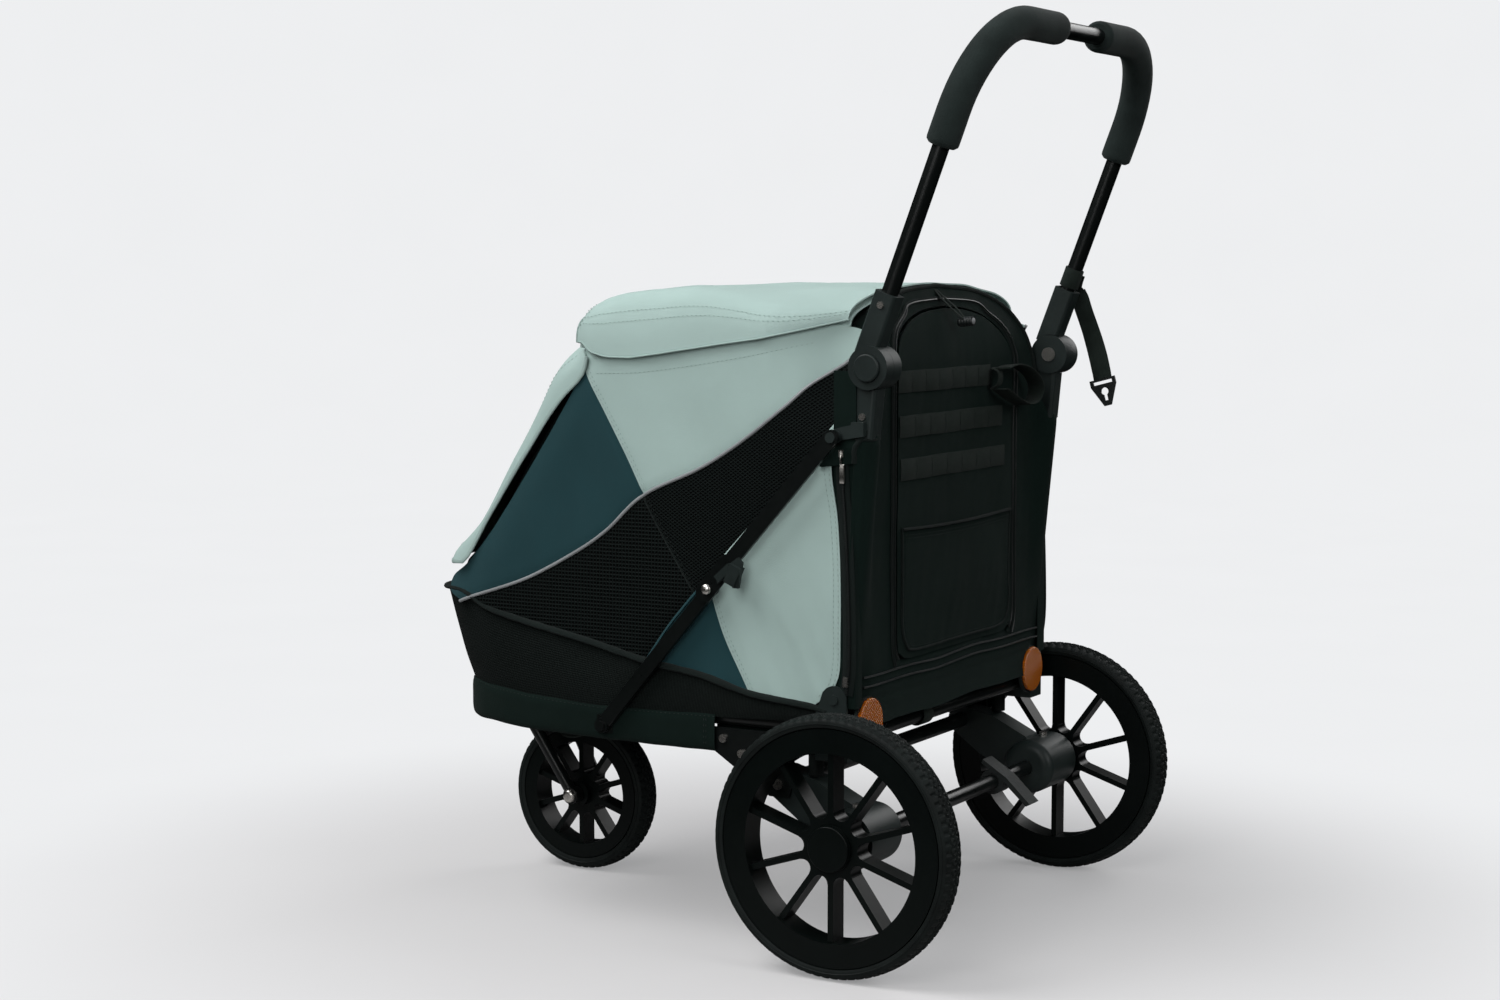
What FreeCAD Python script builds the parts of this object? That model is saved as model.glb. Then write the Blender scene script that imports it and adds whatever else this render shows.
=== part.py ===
import FreeCAD, Part
import math
import os

# Pet stroller with a folding frame, two large rear wheels, one front caster wheel and a fabric cabin.
# Millimetres. +Z is up, the nose points to -Y, the handle to +Y, and +X is the stroller's left.
# Everything is laid out from the rear axle's line on the ground and moved once, at the end, so that
# the origin is the middle of the whole stroller's footprint.

# ---- wheels
REAR_WHEEL_R = 152.5
REAR_WIDTH = 40.0
REAR_SEAT_R = 137.0
REAR_OPENING_R = 109.0
REAR_HUB_R = 27.0
TRACK = 640.0
WHEELBASE = 549.0
FRONT_WHEEL_R = 104.0
FRONT_WIDTH = 40.0
FRONT_SEAT_R = 87.0
FRONT_OPENING_R = 69.0
FRONT_HUB_R = 17.0
SPOKES = 10
SPOKE_T = 7.0
RIM_INSET = 2.0
AXLE_PIN_R = 6.0
RUNNING = 0.05
CASTER_TRAIL = 31.0
REAR_HUB_W = 34.0
FRONT_HUB_W = 46.0
CAP_T = 4.0
STEM_R = 8.0
FORK_ARM_R = 8.0
CROWN_GAP = 5.0
CROWN_T = 10.0

# ---- tube sizes and the frame's main lines
TUBE_R = 10.0
POST_R = 11.0
WALL = 1.6
RAIL_X = 258.0
UPPER_RAIL_Z = 277.0
RAIL_GAP = 4.0
RAIL_REAR_Y = -30.0
LOWER_RAIL_FRONT_Y = -352.0
CROSS_BAR_Y = -27.0
CROSS_BAR_DROP = 15.0
POST_FOOT = (-26.0, 312.0)
POST_HEAD = (11.0, 694.0)
HINGE = (15.0, 694.0)
HANDLE_FOOT = (1.0, 694.0)
CROSSBAR = (150.0, 1083.0)
HANDLE_BEND = 110.0
GRIP_R = 19.0
GRIP_LOW_Z = 942.0
GRIP_END_X = 61.0

# ---- hinges, braces and buttons
KNUCKLE_R = 25.0
KNUCKLE_IN = 17.5
KNUCKLE_OUT = 20.0
SLEEVE_SIDE = 2.5
SLEEVE_WALL = 3.0
TUBE_START = 32.0
LOWER_SLEEVE_LEN = 82.0
UPPER_SLEEVE_LEN = 90.0
BUTTON_R = 16.0
BUTTON_TRAVEL = 3.5
BUTTON_PROUD = 5.0
HINGE_BOLT_R = 5.0
BRACE_TOP = (-23.0, 615.0)
BRACE_MID = (-186.0, 432.0)
BRACE_FOOT = (-339.0, 256.0)
BRACE_COLLAR = 1.5
EAR_T = 3.0
INNER_EAR_T = 4.0
LOWER_BRACE_T = 8.0
UPPER_BRACE_T = 5.0
BRACE_GAP = 0.6
PIN_R = 4.0

# ---- storage strap: its loop's height up the tube, and the hanging end's line as (y, z)
STRAP_W = 25.0
STRAP_LOOP = 106.0
STRAP_T = 2.0
STRAP_GAP = 2.0
STRAP_LINE = [(35.0, 772.0), (46.0, 748.0), (57.0, 716.0), (71.0, 663.0)]

# ---- suspension and brake
SWING_PIVOT = (-102.0, 205.0)
AXLE_TUBE_R = 9.5
HOUSING_R = 35.0
HOUSING_STEP = 18.0
HUB_GAP = 3.0
ARM_IN_X = 230.0
ARM_W = 36.0
ARM_BOSS_R = 19.0
PEDAL_X = -118.0
RELEASE_X = 268.0
RELEASE_R = 5.0
RELEASE_TRAVEL = 3.0

# ---- cabin
PANEL_T = 3.5
RAIL_COVER = 2.0
CABIN_REAR_Y = -5.0
HEM_Z = 236.0
HEM_REAR_Y = -192.0
TUB_REAR_Y = -40.0
LIP_Z = 402.0
LIP_SLOPE = 0.207
LIP_REAR = (-53.0, 301.0)
NOSE_OVERHANG = 125.0
HEM_SETBACK = 62.0
HEM_CORNER = 196.0
LIP_CORNER = 162.0
ROOF_TOP_Z = 780.0
ROOF_REAR_Y = -12.0
ROOF_FRONT_Y = -374.0
FLAP_GAP = 3.0
BOARD_T = 5.0
BOARD_GAP = 3.5
CUSHION_INSET = 8.0
CUSHION_T = 28.0
DOOR_HALF = 165.0
DOOR_LOW_Z = 340.0
DOOR_SHOULDER_Z = 700.0
DOOR_TOP_Z = 760.0
DOOR_GAP = 2.0
REFLECTOR_R = 29.0
REFLECTOR_X = 233.0
REFLECTOR_Z = 281.0

CLEAR = 1.0
LEFT, RIGHT = 1, -1
X_AXIS = FreeCAD.Vector(1, 0, 0)
LOWER_RAIL_Z = UPPER_RAIL_Z - 2 * TUBE_R - RAIL_GAP
CROSS_BAR_Z = UPPER_RAIL_Z - CROSS_BAR_DROP
RAIL_FACE_X = RAIL_X + TUBE_R
POST_X = RAIL_FACE_X - CLEAR - POST_R
BRACKET_IN_X = POST_X - POST_R - 1.5
BOARD_HALF = BRACKET_IN_X - INNER_EAR_T - BOARD_GAP
CABIN_X = RAIL_FACE_X + RAIL_COVER + PANEL_T
KNUCKLE_IN_X = POST_X - KNUCKLE_IN
KNUCKLE_OUT_X = POST_X + KNUCKLE_OUT
SLEEVE_W = 2 * (POST_R + SLEEVE_SIDE)
SLEEVE_D = 2 * (POST_R + SLEEVE_WALL)
STRAP_X = KNUCKLE_OUT_X + BUTTON_PROUD + STRAP_GAP
WHEEL_X = TRACK / 2
BOARD_Z = UPPER_RAIL_Z + TUBE_R + CLEAR
CASTER_Y = -WHEELBASE - CASTER_TRAIL
NOSE_Y = -WHEELBASE - NOSE_OVERHANG
CROWN_Z = 2 * FRONT_WHEEL_R + CROWN_GAP
EAR_X = (CABIN_X + CLEAR, CABIN_X + CLEAR + EAR_T)
BRACE_IN_X = EAR_X[1] + BRACE_COLLAR
HOUSING_OUT_X = WHEEL_X - REAR_WIDTH / 2 - HUB_GAP
HOUSING_IN_X = ARM_IN_X - HOUSING_STEP
ARM_X = (ARM_IN_X, ARM_IN_X + ARM_W)
HEM_FRONT_Y = NOSE_Y + HEM_SETBACK
HEM_CORNER_Y = NOSE_Y + HEM_CORNER
LIP_CORNER_Y = NOSE_Y + LIP_CORNER
NODES = {}


# ---------------------------------------------------------------- helpers
def vec(x, y, z):
    return FreeCAD.Vector(x, y, z)


def box(x0, x1, y0, y1, z0, z1):
    return Part.makeBox(x1 - x0, y1 - y0, z1 - z0, vec(x0, y0, z0))


def rod_x(radius, x0, x1, y, z):
    return Part.makeCylinder(radius, x1 - x0, vec(x0, y, z), X_AXIS)


def ring_x(outer, inner, x0, x1, y, z):
    return rod_x(outer, x0, x1, y, z).cut(rod_x(inner, x0 - 1, x1 + 1, y, z))


def rod_between(radius, start, end):
    run = end.sub(start)
    return Part.makeCylinder(radius, run.Length, start, run)


def outline_face(points):
    return Part.Face(Part.makePolygon(points + [points[0]]))


def plate_x(outline, x0, x1):
    """A plate whose outline is a list of (y, z), from x0 to x1."""
    face = outline_face([vec(x0, y, z) for y, z in outline])
    return face.extrude(vec(x1 - x0, 0, 0))


def bent_wire(points, bend):
    """Straight runs joined by tangent arcs of one radius."""
    edges = []
    start = points[0]
    for before, corner, after in zip(points, points[1:], points[2:]):
        into = corner.sub(before).normalize()
        out = after.sub(corner).normalize()
        turn = into.getAngle(out)
        back = bend * math.tan(turn / 2)
        first = corner.sub(into * back)
        last = corner.add(out * back)
        bisector = out.sub(into).normalize()
        centre = corner.add(bisector * (bend / math.cos(turn / 2)))
        middle = centre.sub(bisector * bend)
        edges.append(Part.makeLine(start, first))
        edges.append(Part.Arc(first, middle, last).toShape())
        start = last
    edges.append(Part.makeLine(start, points[-1]))
    return Part.Wire(edges)


def swept(points, bend, radius):
    wire = bent_wire(points, bend)
    circle = Part.Wire(Part.makeCircle(radius, points[0], points[1].sub(points[0])))
    return wire.makePipeShell([circle], True, False)


def bent_tube(points, bend, outer, inner):
    return swept(points, bend, outer).cut(swept(points, bend, inner))


def straight_tube(start, end, outer, inner):
    return rod_between(outer, start, end).cut(rod_between(inner, start, end))


def mirrored(shape):
    return shape.mirror(vec(0, 0, 0), X_AXIS)


def both_sides(shape):
    return Part.Compound([shape, mirrored(shape)])


def add(name, shape):
    NODES[name] = shape


def add_sides(name, shape):
    add(name + "_left", shape)
    add(name + "_right", mirrored(shape))


def along(start, end, distance):
    """The (y, z) point that lies this far from start on the way to end."""
    length = math.dist(start, end)
    return tuple(a + (b - a) * distance / length for a, b in zip(start, end))


def lip_height(y):
    return LIP_REAR[1] + LIP_SLOPE * (LIP_REAR[0] - y)


# ---------------------------------------------------------------- frame
def build_frame():
    nose_cross_y = CASTER_Y + 10
    nose_half, corner_run, nose_bend = 150, 80, 55
    path = [
        vec(RAIL_X, RAIL_REAR_Y, UPPER_RAIL_Z),
        vec(RAIL_X, nose_cross_y + corner_run, UPPER_RAIL_Z),
        vec(nose_half, nose_cross_y, UPPER_RAIL_Z),
        vec(-nose_half, nose_cross_y, UPPER_RAIL_Z),
        vec(-RAIL_X, nose_cross_y + corner_run, UPPER_RAIL_Z),
        vec(-RAIL_X, RAIL_REAR_Y, UPPER_RAIL_Z),
    ]
    head_r = 2 * TUBE_R
    head_low = CROWN_Z + CROWN_T + 2
    head_high = UPPER_RAIL_Z + TUBE_R
    head = Part.makeCylinder(head_r, head_high - head_low, vec(0, CASTER_Y, head_low))
    stem_bore = Part.makeCylinder(STEM_R + RUNNING, head_high - head_low - 4, vec(0, CASTER_Y, head_low))
    add("side_rails", bent_tube(path, nose_bend, TUBE_R, TUBE_R - WALL).cut(head))
    add("caster_head", head.cut(stem_bore))

    lower = straight_tube(
        vec(RAIL_X, LOWER_RAIL_FRONT_Y, LOWER_RAIL_Z),
        vec(RAIL_X, RAIL_REAR_Y, LOWER_RAIL_Z),
        TUBE_R,
        TUBE_R - WALL,
    )
    add("lower_rails", both_sides(lower))

    add(
        "rear_cross_bar",
        straight_tube(
            vec(-BRACKET_IN_X, CROSS_BAR_Y, CROSS_BAR_Z),
            vec(BRACKET_IN_X, CROSS_BAR_Y, CROSS_BAR_Z),
            TUBE_R,
            TUBE_R - WALL,
        ),
    )
    add("corner_brackets", both_sides(corner_bracket(BRACKET_IN_X)))
    lens = Part.makeCylinder(REFLECTOR_R, 5, vec(REFLECTOR_X, -4, REFLECTOR_Z), vec(0, 1, 0))
    lens = lens.makeFillet(1.5, [lens.Edges[0], lens.Edges[2]])
    add("reflectors", both_sides(lens))

    pivot_y, pivot_z = SWING_PIVOT
    plate_in = RAIL_FACE_X + 0.5
    plate_out = plate_in + 3
    add("pivot_cross_tube", ring_x(AXLE_TUBE_R, AXLE_TUBE_R - WALL, -plate_in, plate_in, pivot_y, pivot_z))
    hanger = plate_x(
        [
            (HEM_REAR_Y + 2, LOWER_RAIL_Z + 13),
            (HEM_REAR_Y + 2, LOWER_RAIL_Z - 15),
            (pivot_y - 12, pivot_z - 15),
            (pivot_y + 14, pivot_z - 15),
            (pivot_y + 20, pivot_z + 8),
            (pivot_y + 16, LOWER_RAIL_Z + 13),
        ],
        plate_in,
        plate_out,
    )
    add("suspension_plates", both_sides(hanger))
    buffer_low = pivot_z + 12.5
    rail_low = LOWER_RAIL_Z - TUBE_R
    buffer = Part.makeCylinder(9, rail_low - 0.3 - buffer_low, vec(RAIL_X - 2, pivot_y + 42, buffer_low))
    add("suspension_buffers", both_sides(buffer))

    foot_y, foot_z = BRACE_FOOT
    foot = box(RAIL_FACE_X, BRACE_IN_X - CLEAR, foot_y - 11, foot_y + 11, foot_z - 10, foot_z + 12)
    brace_out = BRACE_IN_X + LOWER_BRACE_T
    foot_pin = rod_x(PIN_R, RAIL_FACE_X, brace_out + 1, foot_y, foot_z)
    foot_head = rod_x(6, brace_out + 0.3, brace_out + 3, foot_y, foot_z)
    add("brace_feet", both_sides(foot.fuse([foot_pin, foot_head]).removeSplitter()))

    rivet_xs = (plate_out, plate_out + 3)
    rivets = []
    for y, z in ((HEM_REAR_Y + 16, LOWER_RAIL_Z), (HEM_REAR_Y + 41, LOWER_RAIL_Z - 16)):
        rivets.append(rod_x(5, rivet_xs[0], rivet_xs[1], y, z))
    rivets.append(rod_x(6, plate_out, plate_out + 3, pivot_y, pivot_z))
    add("frame_rivets", Part.Compound(rivets + [mirrored(rivet) for rivet in rivets]))


def corner_bracket(inner_x):
    """Moulded corner: sockets for the rails, two ears for the post and the reflector's cup."""
    foot_y, foot_z = POST_FOOT
    back_y = CABIN_REAR_Y - 3
    block_top = foot_z - POST_R - 8
    low_z = LOWER_RAIL_Z - TUBE_R - 3
    block = box(inner_x, RAIL_FACE_X + 1, foot_y - 24, back_y, low_z, block_top)
    spacer = box(RAIL_FACE_X + 1, EAR_X[1], foot_y - 24, back_y, low_z, LOWER_RAIL_Z + 9)
    ears = []
    inner_ear = (inner_x - INNER_EAR_T, inner_x, block_top - 30)
    for x0, x1, low in (inner_ear, (*EAR_X, LOWER_RAIL_Z)):
        ear = plate_x(
            [
                (foot_y - 24, low),
                (foot_y - 24, block_top),
                (foot_y - 14, foot_z + 9),
                (foot_y + 14, foot_z + 9),
                (back_y, block_top),
                (back_y, low),
            ],
            x0,
            x1,
        )
        ears.append(ear.fuse(rod_x(16, x0, x1, foot_y, foot_z)))
    pin = rod_x(PIN_R, inner_x - INNER_EAR_T, EAR_X[1], foot_y, foot_z)
    head = rod_x(6, EAR_X[1], EAR_X[1] + 2, foot_y, foot_z)
    cup = Part.makeCylinder(REFLECTOR_R + 2, 4, vec(REFLECTOR_X, back_y, REFLECTOR_Z), vec(0, 1, 0))
    body = block.fuse([spacer, pin, head, cup] + ears)
    for z in (UPPER_RAIL_Z, LOWER_RAIL_Z):
        body = body.cut(rod_between(TUBE_R, vec(RAIL_X, foot_y - 30, z), vec(RAIL_X, RAIL_REAR_Y, z)))
    body = body.cut(rod_x(TUBE_R, 0, inner_x, CROSS_BAR_Y, CROSS_BAR_Z))
    return body.removeSplitter()


# ---------------------------------------------------------------- posts, hinges and handle
def sleeve(foot, towards, length, tube_r):
    """A square socket that leaves the hinge along its tube and grips the tube's end."""
    half_w, half_d = SLEEVE_W / 2, SLEEVE_D / 2
    near = KNUCKLE_R - 9
    body = box(-half_w, half_w, -half_d, half_d, near, length)
    body = body.makeFillet(5, [edge for edge in body.Edges if abs(edge.tangentAt(0).z) > 0.9])
    body = body.cut(Part.makeCylinder(tube_r, length, vec(0, 0, TUBE_START)))
    return aimed(body, foot, towards)


def aimed(shape, foot, towards):
    """Turn a shape that stands along +Z to point from foot to towards, both (y, z), at the posts."""
    turn = math.degrees(math.atan2(towards[0] - foot[0], towards[1] - foot[1]))
    shape.rotate(vec(0, 0, 0), X_AXIS, -turn)
    shape.translate(vec(POST_X, *foot))
    return shape


def sleeve_rivet(foot, towards, distance):
    """A rivet in a sleeve's outer face that holds its tube."""
    y, z = along(foot, towards, distance)
    return rod_x(4, POST_X + SLEEVE_W / 2 - 1, POST_X + SLEEVE_W / 2 + 2, y, z)


def build_posts():
    post_len = math.dist(POST_FOOT, POST_HEAD) - TUBE_START
    plug = 16.0
    tube = Part.makeCylinder(POST_R, post_len)
    tube = tube.cut(Part.makeCylinder(POST_R - WALL, post_len, vec(0, 0, plug)))
    tube = aimed(tube, POST_FOOT, POST_HEAD)
    knob = rod_x(POST_R, POST_X - POST_R + 2, POST_X + POST_R - 2, *POST_FOOT)
    tube = tube.fuse(knob).cut(rod_x(PIN_R + RUNNING, 0, POST_X + POST_R + 1, *POST_FOOT))
    add("rear_posts", both_sides(tube.removeSplitter()))

    cover_low = 40.0
    cover_high = post_len + TUBE_START - LOWER_SLEEVE_LEN - 4
    cover = Part.makeCylinder(POST_R + 2, cover_high - cover_low, vec(0, 0, cover_low))
    cover = cover.cut(Part.makeCylinder(POST_R + 0.3, cover_high, vec(0, 0, cover_low - 1)))
    add("post_covers", both_sides(aimed(cover, POST_FOOT, POST_HEAD)))
    build_hinges()


def build_hinges():
    gap = 0.15
    split_x = POST_X + 2
    lower = sleeve(POST_HEAD, POST_FOOT, LOWER_SLEEVE_LEN, POST_R)
    lower = lower.cut(rod_x(KNUCKLE_R + 0.6, split_x - gap, KNUCKLE_OUT_X + 9, *HINGE))
    lower = lower.fuse(rod_x(KNUCKLE_R, KNUCKLE_IN_X, split_x - gap, *HINGE))
    end_y, end_z = along(POST_HEAD, POST_FOOT, LOWER_SLEEVE_LEN)
    lug = plate_x(
        [
            (BRACE_TOP[0] - 8, BRACE_TOP[1] - 6),
            (BRACE_TOP[0] - 8, BRACE_TOP[1] + 7),
            (BRACE_TOP[0] + 4, BRACE_TOP[1] + 11),
            (end_y + 8, end_z + 20),
            (end_y + 8, end_z + 4),
        ],
        *EAR_X,
    )
    root = box(POST_X + SLEEVE_W / 2 - 1, EAR_X[1], end_y - 8, end_y + 8, end_z + 4, end_z + 20)
    brace_in = BRACE_IN_X + LOWER_BRACE_T + BRACE_GAP
    brace_out = brace_in + UPPER_BRACE_T
    pin = rod_x(PIN_R, EAR_X[0], brace_out + 0.5, *BRACE_TOP)
    head = rod_x(6, brace_out + 0.3, brace_out + 2.5, *BRACE_TOP)
    collar = rod_x(7, EAR_X[1], brace_in - 0.3, *BRACE_TOP)
    rivet = sleeve_rivet(POST_HEAD, POST_FOOT, LOWER_SLEEVE_LEN - 26)
    bolt_r = HINGE_BOLT_R
    lower = lower.fuse([lug, root, pin, head, collar])
    lower = lower.cut([rod_x(bolt_r, 0, split_x, *HINGE), rivet])
    add("lower_hinges", both_sides(lower.removeSplitter()))
    bolt_end = KNUCKLE_OUT_X - BUTTON_TRAVEL - 8
    bolt = rod_x(bolt_r, KNUCKLE_IN_X, bolt_end, *HINGE)
    bolt = bolt.fuse(rod_x(9, KNUCKLE_IN_X - 2, KNUCKLE_IN_X, *HINGE))
    add("hinge_bolts", both_sides(Part.Compound([bolt, rivet])))

    upper = sleeve(HANDLE_FOOT, CROSSBAR, UPPER_SLEEVE_LEN, TUBE_R)
    upper = upper.cut(rod_x(KNUCKLE_R + 0.6, 0, split_x + gap, *HINGE))
    upper = upper.fuse(rod_x(KNUCKLE_R, split_x + gap, KNUCKLE_OUT_X, *HINGE))
    recess = rod_x(BUTTON_R + 0.3, bolt_end, KNUCKLE_OUT_X + 1, *HINGE)
    rivet = sleeve_rivet(HANDLE_FOOT, CROSSBAR, UPPER_SLEEVE_LEN - 14)
    upper = upper.cut([rod_x(bolt_r + RUNNING, 0, bolt_end, *HINGE), recess, rivet])
    add("upper_hinges", both_sides(upper.removeSplitter()))
    add("handle_rivets", both_sides(rivet))
    button = rod_x(BUTTON_R, bolt_end + BUTTON_TRAVEL + 0.5, KNUCKLE_OUT_X + BUTTON_PROUD, *HINGE)
    button = button.makeFillet(2, [button.Edges[0]])
    add_sides("hinge_button", button)


def handle_axis(distance):
    """The point of the left handle tube's axis this far up from its foot."""
    return vec(POST_X, *along(HANDLE_FOOT, CROSSBAR, distance))


def build_handle():
    corner = vec(POST_X, *CROSSBAR)
    far_corner = vec(-POST_X, *CROSSBAR)
    low = handle_axis(TUBE_START)
    path = [low, corner, far_corner, vec(-POST_X, low.y, low.z)]
    add("handle_tube", bent_tube(path, HANDLE_BEND, TUBE_R, TUBE_R - WALL))
    slope = (CROSSBAR[0] - HANDLE_FOOT[0]) / (CROSSBAR[1] - HANDLE_FOOT[1])
    grip_low = vec(POST_X, HANDLE_FOOT[0] + (GRIP_LOW_Z - HANDLE_FOOT[1]) * slope, GRIP_LOW_Z)
    grip_path = [grip_low, corner, vec(GRIP_END_X, *CROSSBAR)]
    add("grips", both_sides(bent_tube(grip_path, HANDLE_BEND, GRIP_R, TUBE_R)))
    build_strap()


def build_strap():
    """Storage strap on the right: a loop round the tube, a hanging end and a keyhole plate."""
    half = STRAP_W / 2
    loop_low = handle_axis(STRAP_LOOP - half)
    loop_high = handle_axis(STRAP_LOOP + half)
    add("strap_loop", mirrored(straight_tube(loop_low, loop_high, TUBE_R + STRAP_T, TUBE_R)))

    x0, x1 = -STRAP_X - STRAP_T, -STRAP_X
    line = STRAP_LINE
    tail = rod_x(half, x0, x1, *line[0])
    for start, end in zip(line, line[1:]):
        tail = tail.fuse(plate_bar(start, end, half, x0, x1))
    below = along(line[-2], line[-1], math.dist(line[-2], line[-1]) + 1)
    turn = math.degrees(math.atan2(line[-1][0] - line[-2][0], line[-2][1] - line[-1][1]))
    cut = box(x0 - 1, x1 + 1, -40, 40, -40, 0)
    plate = plate_x([(-18, 0), (18, 0), (18, -9), (5, -36), (-5, -36), (-18, -9)], x0, x1)
    plate = plate.cut([rod_x(5, x0, x1, 0, -17), box(x0, x1, -2.2, 2.2, -29, -17)])
    plate = plate.cut(box(x0, x1, -13, 13, -7, -3))
    for shape in (cut, plate):
        shape.rotate(vec(0, 0, 0), X_AXIS, turn)
        shape.translate(vec(0, *below))
    add("storage_strap", tail.cut(cut).removeSplitter())
    add("strap_plate", plate)


# ---------------------------------------------------------------- side braces
def build_braces():
    """Two-part side braces. The halves lie beside each other, so that they can fold past."""
    low_in, low_out = BRACE_IN_X, BRACE_IN_X + LOWER_BRACE_T
    up_in = low_out + BRACE_GAP
    up_out = up_in + UPPER_BRACE_T
    pivot_hole = PIN_R + RUNNING
    upper_len = math.dist(BRACE_TOP, BRACE_MID)
    lower_len = math.dist(BRACE_FOOT, BRACE_MID)

    oval_r = 9.0
    lower = rod_between(
        oval_r,
        vec((low_in + low_out) / 2, *along(BRACE_FOOT, BRACE_MID, 8)),
        vec((low_in + low_out) / 2, *along(BRACE_FOOT, BRACE_MID, lower_len)),
    )
    lower = lower.common(box(low_in, low_out, -1000, 1000, 0, 1000))
    ends = [rod_x(oval_r, low_in, low_out, *point) for point in (BRACE_FOOT, BRACE_MID)]
    holes = [rod_x(pivot_hole, 0, 400, *BRACE_FOOT), rod_x(PIN_R + 2, 0, 400, *BRACE_MID)]
    lower = lower.fuse(ends).cut(holes)
    add("lower_braces", both_sides(lower.removeSplitter()))

    half = 9.0
    skin = 2.0
    flange = plate_bar(BRACE_TOP, along(BRACE_TOP, BRACE_MID, upper_len - 40), half, up_in, up_out)
    hollow_low = along(BRACE_TOP, BRACE_MID, upper_len - 20)
    hollow = plate_bar(BRACE_TOP, hollow_low, half - skin, up_in - 1, up_out - skin)
    bracket_high = along(BRACE_TOP, BRACE_MID, upper_len - 42)
    bracket_low = along(BRACE_TOP, BRACE_MID, upper_len + 6)
    bracket = plate_bar(bracket_high, bracket_low, half + 2.5, up_out - skin, up_out)
    boss = rod_x(half - 1, up_in, up_out, *BRACE_TOP)
    rivet = rod_x(6, up_out, up_out + 2.5, *BRACE_MID)
    upper = flange.cut(hollow).fuse([bracket, boss, rivet])
    upper = upper.cut(rod_x(pivot_hole, 0, 400, *BRACE_TOP))
    add("upper_braces", both_sides(upper.removeSplitter()))

    mid_y, mid_z = BRACE_MID
    lever = plate_x(
        [
            (mid_y + 14, mid_z + 18),
            (mid_y + 44, mid_z + 40),
            (mid_y + 50, mid_z + 34),
            (mid_y + 45, mid_z + 4),
            (mid_y + 37, mid_z + 4),
            (mid_y + 39, mid_z + 24),
            (mid_y + 17, mid_z + 8),
        ],
        up_out + 0.4,
        up_out + 5,
    )
    add_sides("brace_latch", lever)


def plate_bar(start, end, half, x0, x1):
    """A flat bar with round ends between two (y, z) points."""
    length = math.dist(start, end)
    side = ((end[1] - start[1]) / length * half, -(end[0] - start[0]) / length * half)
    corners = [
        (start[0] + side[0], start[1] + side[1]),
        (end[0] + side[0], end[1] + side[1]),
        (end[0] - side[0], end[1] - side[1]),
        (start[0] - side[0], start[1] - side[1]),
    ]
    bar = plate_x(corners, x0, x1)
    return bar.fuse([rod_x(half, x0, x1, *start), rod_x(half, x0, x1, *end)]).removeSplitter()


# ---------------------------------------------------------------- wheels and suspension
def spoked_rim(seat_r, opening_r, hub_r, width, hub_width, bore_r):
    """Band, hub and blade spokes about the X axis, with U-shaped roots between the spokes."""
    half = width / 2 - RIM_INSET
    band = ring_x(seat_r, opening_r, -half, half, 0, 0)
    depth = half - 5
    root_r = hub_r + 15
    root = rod_x(root_r, -depth, depth, 0, 0)
    pocket_r = math.pi * root_r / SPOKES - SPOKE_T / 2
    blades = []
    pockets = []
    for index in range(SPOKES):
        turn = 360.0 * index / SPOKES
        blade = box(-depth, depth, -SPOKE_T / 2, SPOKE_T / 2, hub_r, opening_r + 2)
        blade.rotate(vec(0, 0, 0), X_AXIS, turn)
        blades.append(blade)
        pocket = rod_x(pocket_r, -depth - 1, depth + 1, 0, root_r + 2)
        pocket.rotate(vec(0, 0, 0), X_AXIS, turn + 180.0 / SPOKES)
        pockets.append(pocket)
    hub = rod_x(hub_r, -hub_width / 2, hub_width / 2, 0, 0)
    rim = band.fuse([root.cut(pockets), hub] + blades)
    return rim.cut(rod_x(bore_r, -hub_width, hub_width, 0, 0)).removeSplitter()


def tyre(outer_r, seat_r, width):
    half = width / 2
    round_r = 7.0
    shoulder = outer_r - round_r
    crown = half - round_r
    mid = round_r * math.sqrt(0.5)
    edges = [
        Part.makeLine(vec(-half, 0, seat_r), vec(-half, 0, shoulder)),
        Part.Arc(
            vec(-half, 0, shoulder), vec(-crown - mid, 0, shoulder + mid), vec(-crown, 0, outer_r)
        ).toShape(),
        Part.makeLine(vec(-crown, 0, outer_r), vec(crown, 0, outer_r)),
        Part.Arc(
            vec(crown, 0, outer_r), vec(crown + mid, 0, shoulder + mid), vec(half, 0, shoulder)
        ).toShape(),
        Part.makeLine(vec(half, 0, shoulder), vec(half, 0, seat_r)),
        Part.makeLine(vec(half, 0, seat_r), vec(-half, 0, seat_r)),
    ]
    return Part.Face(Part.Wire(edges)).revolve(vec(0, 0, 0), X_AXIS, 360)


def build_rear_wheels():
    axle_z = REAR_WHEEL_R
    rim = spoked_rim(
        REAR_SEAT_R, REAR_OPENING_R, REAR_HUB_R, REAR_WIDTH, REAR_HUB_W, AXLE_PIN_R + RUNNING
    )
    rubber = tyre(REAR_WHEEL_R, REAR_SEAT_R, REAR_WIDTH)
    cap_x = WHEEL_X + REAR_HUB_W / 2
    cap = rod_x(REAR_HUB_R - 1, cap_x, cap_x + CAP_T, 0, axle_z)
    cap = cap.makeFillet(1.5, [cap.Edges[0]])
    for shape in (rim, rubber):
        shape.translate(vec(WHEEL_X, 0, axle_z))
    add_sides("rear_rim", rim)
    add_sides("rear_tyre", rubber)
    add_sides("hub_cap", cap)


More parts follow.
